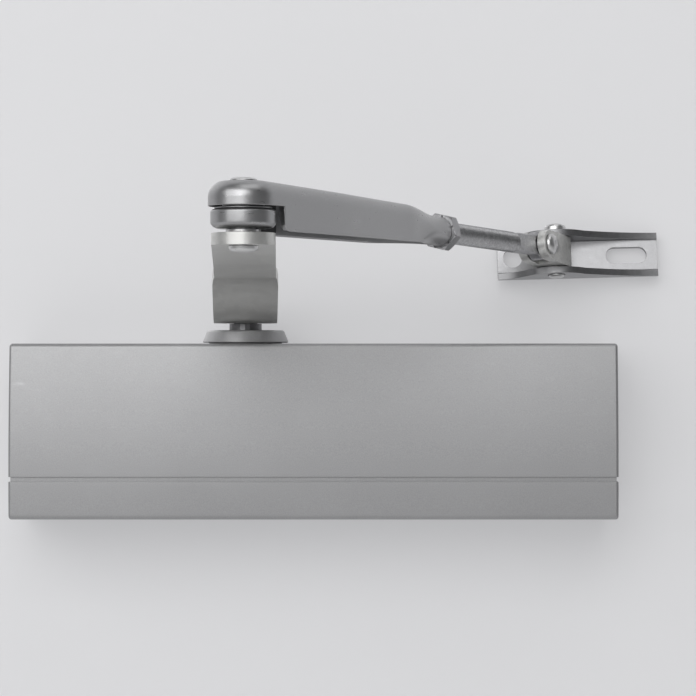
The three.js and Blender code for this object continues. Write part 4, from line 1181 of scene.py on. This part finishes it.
def make_shoe():
    front = SHOE_NOSE - 5
    bend = SHOE_BACK - SHOE_BEND
    inner_bend = 0.6
    plate = SHOE_BACK - SHEET_SHOE
    channel = [(front, -SHOE_OUTER)]
    channel += arc(bend, -SHOE_OUTER + SHOE_BEND, SHOE_BEND, -90, 0, 12)
    channel += arc(bend, SHOE_OUTER - SHOE_BEND, SHOE_BEND, 0, 90, 12)
    channel += [(front, SHOE_OUTER), (front, SHOE_INNER)]
    channel += arc(plate - inner_bend, SHOE_INNER - inner_bend, inner_bend, 90, 0, 6)
    channel += arc(plate - inner_bend, -SHOE_INNER + inner_bend, inner_bend, 0, -90, 6)
    channel += [(front, -SHOE_INNER)]
    folded = moved(prism("shoe_body", channel, SHOE_LEFT, SHOE_RIGHT), LENGTHWAYS)
    end_y = SHOE_BACK - 3
    plan = [(SHOE_LEFT, SHOE_BACK + 3)]
    plan += curve_through([
        (SHOE_LEFT, end_y), (SHOE_LEFT + 7, end_y - 1), (-10, SHOE_NOSE + 4), (-6, SHOE_NOSE), (0, SHOE_NOSE),
        (6, SHOE_NOSE), (11, SHOE_NOSE + 4), (SHOE_RIGHT - 14, end_y - 1), (SHOE_RIGHT, end_y),
    ])
    plan += [(SHOE_RIGHT, SHOE_BACK + 3)]
    carve(folded, [prism("shoe_plan", plan, -20, 20)], "INTERSECT")
    pin_hole = disc("shoe_pin_holes", PIN_HOLE, -20, 20)
    screw_hole = cylinder(across(shift(SHOE_HOLE)), SHOE_HOLE_RADIUS, -14, -2)
    straight = (SHOE_SLOT_LENGTH - SHOE_SLOT_WIDTH) / 2
    round_end = SHOE_SLOT_WIDTH / 2
    slot_line = link_outline(SHOE_SLOT - straight, round_end, SHOE_SLOT + straight, round_end)
    screw_slot = moved(prism("screw_slot", slot_line, -14, -2), ACROSS)
    shoe = eased(carve(folded, [pin_hole, screw_hole, screw_slot]), 0.3, 3, 40)

    def is_darkened(normal, centre):
        on_flange = abs(centre.z) > SHOE_INNER - 0.2 and normal.y < -0.3
        in_hole = abs(centre.z) < 5 and abs(normal.y) < 0.8
        return on_flange or in_hole or abs(normal.x) > 0.7

    return mark_cuts_and_shade(shoe, is_darkened)


def make_shoe_pin():
    head = SHOE_OUTER + 0.2
    end = -SHOE_OUTER - 0.9
    profile = [(0, end + 0.25), (1.4, end), (2.5, end), (3.1, end + 0.5), (3.1, head), (4.3, head)]
    profile += [(4.3, head + 1.2), (4.05, head + 1.8), (3.3, head + 2.3), (1.8, head + 2.55), (0, head + 2.5)]
    return eased(turned("shoe_pin_body", profile), 0.12, 2)


fitted(make_shoe(), ON_SHOE, "shoe", "zinc_plate", "shoe_bracket")
fitted(make_shoe_pin(), ON_SHOE, "shoe", "bright_steel", "shoe_pin")

# %% [markdown]
# ## The cast housing and what shows of its fittings
#
# The housing is seen from behind and when the cover is off. It is a die-cast block with round front
# corners, a flange with four lugs, and bosses for the spindle.

# %% Housing
BORE_RADIUS = 16.5
BARREL_HALF = 92.0
BARREL_DEPTH = 41.0
BARREL_HEIGHT = 54.0
BARREL_CORNER = 8.0
LUG_HALF = width("housing") / 2
LUG_THICKNESS = 9.0
LUG_HOLE = 2.75
LUG_HOLE_X = 102
LUG_HOLE_Z = 18
CLIP_X = 104
CLIP_HOLE = 1.9
VALVE_BORE = 3.5
BOSS_RADIUS = 15.6
SPINDLE_BORES = ((12, 16.7, 40), (10, -40, 17), (12.3, -40, -27.7))
PLUG_FLANGE = width("end_plug_right", 2) / 2
bore_y = spindle_y


def rounded_rectangle(x, y, radius, steps=10):
    corners = [(x[1], y[0], -90), (x[1], y[1], 0), (x[0], y[1], 90), (x[0], y[0], 180)]
    points = []
    for corner_x, corner_y, start in corners:
        centre_x = corner_x - math.copysign(radius, corner_x)
        centre_y = corner_y - math.copysign(radius, corner_y)
        points += arc(centre_x, centre_y, radius, start, start + 90, steps)
    return points


def make_housing():
    half = BARREL_HEIGHT / 2
    corner_y = -BARREL_DEPTH + BARREL_CORNER
    section = [(0, -half), (0, half)]
    section += arc(corner_y, half - BARREL_CORNER, BARREL_CORNER, 90, 180, 12)
    section += arc(corner_y, -half + BARREL_CORNER, BARREL_CORNER, 180, 270, 12)
    casting = moved(prism("casting", section, -BARREL_HALF, BARREL_HALF), LENGTHWAYS)
    flange = rounded_rectangle((-LUG_HALF, LUG_HALF), (-half, half), 6)
    lugs = moved(prism("lugs", flange, 0, LUG_THICKNESS), ACROSS)
    at_spindle = shift(spindle_x, spindle_y)
    boss_height = heights("housing")[1]
    boss = cylinder(at_spindle, BOSS_RADIUS, -boss_height, boss_height)
    carve(casting, [lugs, boss], "UNION")
    bore = lengthways(shift(0, bore_y))
    cutters = [cylinder(bore, BORE_RADIUS, -150, 150)]
    drilled = []
    for end in (-1, 1):
        limits = sorted((end * BARREL_HALF, end * (BARREL_HALF + 4.8)))
        cutters.append(cylinder(bore, PLUG_FLANGE + 0.3, *limits))
        for side in (-1, 1):
            lug = across(shift(end * LUG_HOLE_X, 0, side * LUG_HOLE_Z))
            drilled.append(cylinder(lug, LUG_HOLE, -1, 20, 48))
            if end > 0:
                valve = lengthways(shift(0, corner_y, side * (half - BARREL_CORNER)))
                cutters.append(cylinder(valve, VALVE_BORE, 77, 100, 48))
        drilled.append(cylinder(across(shift(end * CLIP_X)), CLIP_HOLE, 4, 20, 32))
    for radius, low, high in SPINDLE_BORES:
        cutters.append(cylinder(at_spindle, radius, low, high))
    return carve(eased(carve(casting, cutters), 0.5, 2, 45), drilled)


fitted(make_housing(), IN_BODY, "closer_body", "cast_aluminium", "housing")

# %% [markdown]
# ## Fittings that show when the cover is off
#
# End plugs, gland nut, lower cap, valves and clip screws are small turned parts. Their CAD solids are
# faceted, so they are turned again from finer profiles. The bent clips keep their CAD solids.

# %% Plugs, caps, valves and clip screws
PLUG_FLATS = 12
CAP_FLATS = 8


def make_end_plug(name):
    face = BARREL_HALF + 0.2
    end = BARREL_HALF + 3.8
    profile = [(0, 80), (16.2, 80), (16.2, face), (PLUG_FLANGE, face), (PLUG_FLANGE, end - 0.8)]
    profile += [(PLUG_FLANGE - 0.8, end), (10, end), (9.6, end - 0.4), (0, end - 0.4)]
    key = prism("plug_socket", hexagon(PLUG_FLATS / math.sqrt(3)), BARREL_HALF + 0.4, end + 2)
    return eased(carve(turned(name, profile), [key]), 0.2, 2)


right_end = lengthways(place(Vector((0, bore_y * MM, 0)), RIGHT, UP))
left_end = lengthways(place(Vector((0, bore_y * MM, 0)), -RIGHT, UP))
fitted(make_end_plug("right_plug"), right_end, "closer_body", "bright_steel", "end_plug_right")
fitted(make_end_plug("left_plug"), left_end, "closer_body", "bright_steel", "end_plug_left")


def make_gland_nut():
    low, high = heights("gland_nut")
    shelf = heights("housing")[1] + 0.2
    profile = [(7.8, low), (11.7, low), (11.7, shelf), (13, shelf), (13, high - 0.4), (12.6, high), (7.8, high),
               (7.8, low)]
    slots = []
    for angle in (0, 90):
        bar = block("spanner_slot", (-20, 20), (-1.3, 1.3), (high - 1.2, high + 2))
        slots.append(moved(bar, Matrix.Rotation(math.radians(angle), 4, "Z")))
    return eased(carve(turned("gland_nut_body", profile), slots), 0.15, 2)


def make_lower_cap():
    low, high = heights("lower_cap")
    profile = [(0, low), (11.6, low), (12, low + 0.4), (12, high - 0.4), (11.6, high), (0, high)]
    key = prism("cap_socket", hexagon(CAP_FLATS / math.sqrt(3)), low - 2, high - 1)
    return eased(carve(turned("lower_cap_body", profile), [key]), 0.15, 2)


fitted(make_gland_nut(), AT_SPINDLE, "closer_body", "bright_steel", "gland_nut")
fitted(make_lower_cap(), AT_SPINDLE, "closer_body", "bright_steel", "lower_cap")


def make_valve(name):
    start, end = BARREL_HALF - 14, BARREL_HALF + 2
    groove = start + 6
    profile = [(0, start), (1.4, start + 3), (3.2, start + 3.6), (3.2, groove - 1.1), (1.9, groove - 1.1),
               (1.9, groove + 1.1), (3.2, groove + 1.1), (3.2, end - 0.5), (2.8, end), (0, end)]
    slot = block("valve_slot", (-9, 9), (-0.5, 0.5), (end - 1.3, end + 2))
    return eased(carve(turned(name, profile, 64), [slot]), 0.12, 2)


for title, joint_name, node in (
    ("closing_valve_body", "closing_valve_turn", "closing_speed_valve"),
    ("latching_valve_body", "latching_valve_turn", "latching_speed_valve"),
):
    point = joint_point(joint_name)
    at = lengthways(place(Vector((0, point.y, point.z)), RIGHT, UP))
    body = joints[joint_name]["child"]
    fitted(make_valve(title), at, body, "bright_steel", node)


def make_clip_screw(name):
    low, high = LUG_THICKNESS - 4.5, -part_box("clip_screw_right")[0].y / MM
    under = high - 2.2
    profile = [(0, low), (1.6, low + 0.5), (1.6, under), (3.2, under), (3.15, under + 0.8), (2.7, under + 1.5),
               (1.8, under + 2.05), (0, high)]
    slot = block("clip_slot", (-9, 9), (-0.4, 0.4), (under + 1.1, under + 9))
    return eased(carve(turned(name, profile, 64), [slot]), 0.1, 2)


for end, side in ((-1, "left"), (1, "right")):
    at = across(IN_BODY @ shift(end * CLIP_X))
    screw = make_clip_screw(f"clip_screw_{side}_head")
    fitted(screw, at, "closer_body", "zinc_plate", f"clip_screw_{side}")

# %% [markdown]
# ### The main spring
#
# The closing spring lies in the bore between the piston and a fixed seat. Its left end goes with the piston
# and its right end stays, so in the closer the coil shortens. Here it is one fixed coil that fills its CAD
# solid's box.

# %% Main spring
SPRING_WIRE = 4.4
SPRING_TURNS = 8
SPRING_STEPS = 40
WIRE_SIDES = 12
SPRING_SLACK = 0.02
spring_low, spring_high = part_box("main_spring")


def make_main_spring():
    low, high = (corner / MM for corner in (spring_low, spring_high))
    wire = SPRING_WIRE / 2
    radius = (high.z - low.z) / 2 - wire - SPRING_SLACK
    middle_y, middle_z = (low.y + high.y) / 2, (low.z + high.z) / 2
    start, end = low.x + wire + SPRING_SLACK, high.x - wire - SPRING_SLACK
    shape = bmesh.new()
    rings = []
    count = SPRING_TURNS * SPRING_STEPS
    for i in range(count + 1):
        turn = 2 * math.pi * SPRING_TURNS * i / count
        out = Vector((0, math.cos(turn), math.sin(turn)))
        centre = Vector((mix(start, end, i / count), middle_y, middle_z)) + out * radius
        round_wire = [2 * math.pi * k / WIRE_SIDES for k in range(WIRE_SIDES)]
        offsets = [out * wire * math.cos(a) + RIGHT * wire * math.sin(a) for a in round_wire]
        rings.append([shape.verts.new(centre + offset) for offset in offsets])
    for first, second in zip(rings, rings[1:]):
        for k in range(WIRE_SIDES):
            after = (k + 1) % WIRE_SIDES
            shape.faces.new((first[k], first[after], second[after], second[k]))
    shape.faces.new(rings[0])
    shape.faces.new(rings[-1])
    return from_bmesh("main_spring_coil", shape)


main_spring = make_main_spring()
smooth(main_spring)
moved(main_spring, IN_BODY)
main_spring.data.materials.append(spring_steel)
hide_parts("main_spring")
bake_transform(main_spring)
print("spring:", len(main_spring.data.polygons), "faces, free length", round(width("main_spring"), 1))

# %% [markdown]
# ## Carried-over solids
#
# Everything else is inside the housing, or is simple enough that its CAD solid is the right shape. Those
# nodes keep their mesh and take a finish. Their material slots are filled here by the slot name in the
# record.

# %% Materials for the CAD solids that stay
finish_of_node = {"pinion_shaft": shaft_steel}
for node, solid in frame["nodes"].items():
    material = finish_of_node.get(node, finish_of_slot[slot_of_node[node]])
    for material_slot in solid.material_slots:
        material_slot.material = material
print("dressed", len(frame["nodes"]), "CAD solids")

# %% [markdown]
# ## Setting, light and camera
#
# The closer is shown on a pale wall, the way it hangs on a door, with a pale floor far below. The wall lets
# itself be seen through from behind, and lets lamps behind it shine through, so that the closer can also be
# looked at from the back. One large soft lamp stands high in front, to the left. Weaker ones stand straight
# in front, overhead and behind.

# %% Wall and floor


def pale(name, colour, glow, one_sided):
    material = bpy.data.materials.new(name)
    material.use_nodes = True
    tree = material.node_tree
    shader = tree.nodes["Principled BSDF"]
    shader.inputs["Roughness"].default_value = 0.85
    shader.inputs["Specular IOR Level"].default_value = 0.2
    shader.inputs["Emission Color"].default_value = (0.98, 0.98, 1.0, 1)
    shader.inputs["Emission Strength"].default_value = glow
    ramp = tree.nodes.new("ShaderNodeMix")
    ramp.data_type = "RGBA"
    ramp.inputs["A"].default_value = (*[c * 0.98 for c in colour], 1)
    ramp.inputs["B"].default_value = (*colour, 1)
    tree.links.new(noise(tree, 3.0, 3.0), ramp.inputs["Factor"])
    tree.links.new(ramp.outputs["Result"], shader.inputs["Base Color"])
    if one_sided:
        clear = tree.nodes.new("ShaderNodeBsdfTransparent")
        mixer = tree.nodes.new("ShaderNodeMixShader")
        behind = tree.nodes.new("ShaderNodeNewGeometry").outputs["Backfacing"]
        shadow = tree.nodes.new("ShaderNodeLightPath").outputs["Is Shadow Ray"]
        tree.links.new(maths(tree, "MAXIMUM", behind, shadow), mixer.inputs["Fac"])
        tree.links.new(shader.outputs["BSDF"], mixer.inputs[1])
        tree.links.new(clear.outputs["BSDF"], mixer.inputs[2])
        tree.links.new(mixer.outputs["Shader"], tree.nodes["Material Output"].inputs["Surface"])
    return material


def sheet(name, corners, material):
    shape = bmesh.new()
    shape.faces.new([shape.verts.new(corner) for corner in corners])
    piece = as_object(name, shape)
    piece.data.materials.append(material)


WALL_Y = 0.0015
REACH = 2.5
FLOOR_Z = -0.35
wall_ends = ((-REACH, FLOOR_Z), (REACH, FLOOR_Z), (REACH, REACH), (-REACH, REACH))
wall_corners = [(x, WALL_Y, z) for x, z in wall_ends]
sheet("wall", wall_corners, pale("wall_paint", (0.45, 0.45, 0.457), 0.3, True))
floor_ends = ((-REACH, -REACH), (REACH, -REACH), (REACH, REACH), (-REACH, REACH))
floor_corners = [(x, y, FLOOR_Z) for x, y in floor_ends]
sheet("floor", floor_corners, pale("floor_paint", (0.7, 0.7, 0.7), 0.1, False))

# %% Lamps and world


def lamp(name, position, target, size, power):
    data = bpy.data.lights.new(name, "AREA")
    data.shape = "RECTANGLE"
    data.size, data.size_y = size
    data.energy = power
    light = bpy.data.objects.new(name, data)
    bpy.context.scene.collection.objects.link(light)
    light.location = position
    direction = Vector(target) - Vector(position)
    light.rotation_mode = "QUATERNION"
    light.rotation_quaternion = direction.to_track_quat("-Z", "Y")


lamp("key", (-0.58, -1.35, 0.6), (0, -0.04, 0.03), (1.7, 1.2), 13.5)
lamp("front", (0.02, -1.4, 0.62), (0, -0.04, 0.03), (1.0, 0.8), 3.6)
lamp("overhead", (0.25, -0.45, 1.0), (0.05, -0.06, 0.03), (0.9, 0.6), 2.0)
lamp("back_left", (-0.9, 1.2, 0.8), (0, 0, 0), (0.8, 0.8), 9.0)
print("lamps:", ", ".join(light.name for light in bpy.data.lights))

# %% The room around: a little lighter on the left and below
world = bpy.data.worlds.new("studio")
bpy.context.scene.world = world
world.use_nodes = True
room = world.node_tree
direction = room.nodes.new("ShaderNodeSeparateXYZ")
room.links.new(room.nodes.new("ShaderNodeTexCoord").outputs["Generated"], direction.inputs["Vector"])
leftward = maths(room, "MULTIPLY_ADD", direction.outputs["X"], -0.05, 0.2)
brightness = maths(room, "MAXIMUM", maths(room, "MULTIPLY_ADD", direction.outputs["Z"], -0.08, leftward), 0.05)
room.nodes["Background"].inputs["Color"].default_value = (0.97, 0.98, 1.0, 1)
room.links.new(brightness, room.nodes["Background"].inputs["Strength"])
bpy.context.scene.view_settings.view_transform = "Standard"

# %% [markdown]
# ### Camera
#
# The camera looks square at the door face from about a metre away, a little above the middle of the cover.
# At that distance the arm, which points at the viewer, looks clearly larger at its elbow than at its
# spindle.

# %% Camera
CAMERA_DISTANCE = 1.0
CAMERA_X = 0.013
CAMERA_Z = 0.0315
LENS = 131.1
SENSOR = 36
camera_data = bpy.data.cameras.new("camera")
camera_data.lens = LENS
camera_data.sensor_width = SENSOR
camera = bpy.data.objects.new("camera", camera_data)
bpy.context.scene.collection.objects.link(camera)
camera.location = (CAMERA_X, -CAMERA_DISTANCE, CAMERA_Z)
camera.rotation_euler = (math.pi / 2, 0, 0)
bpy.context.scene.camera = camera
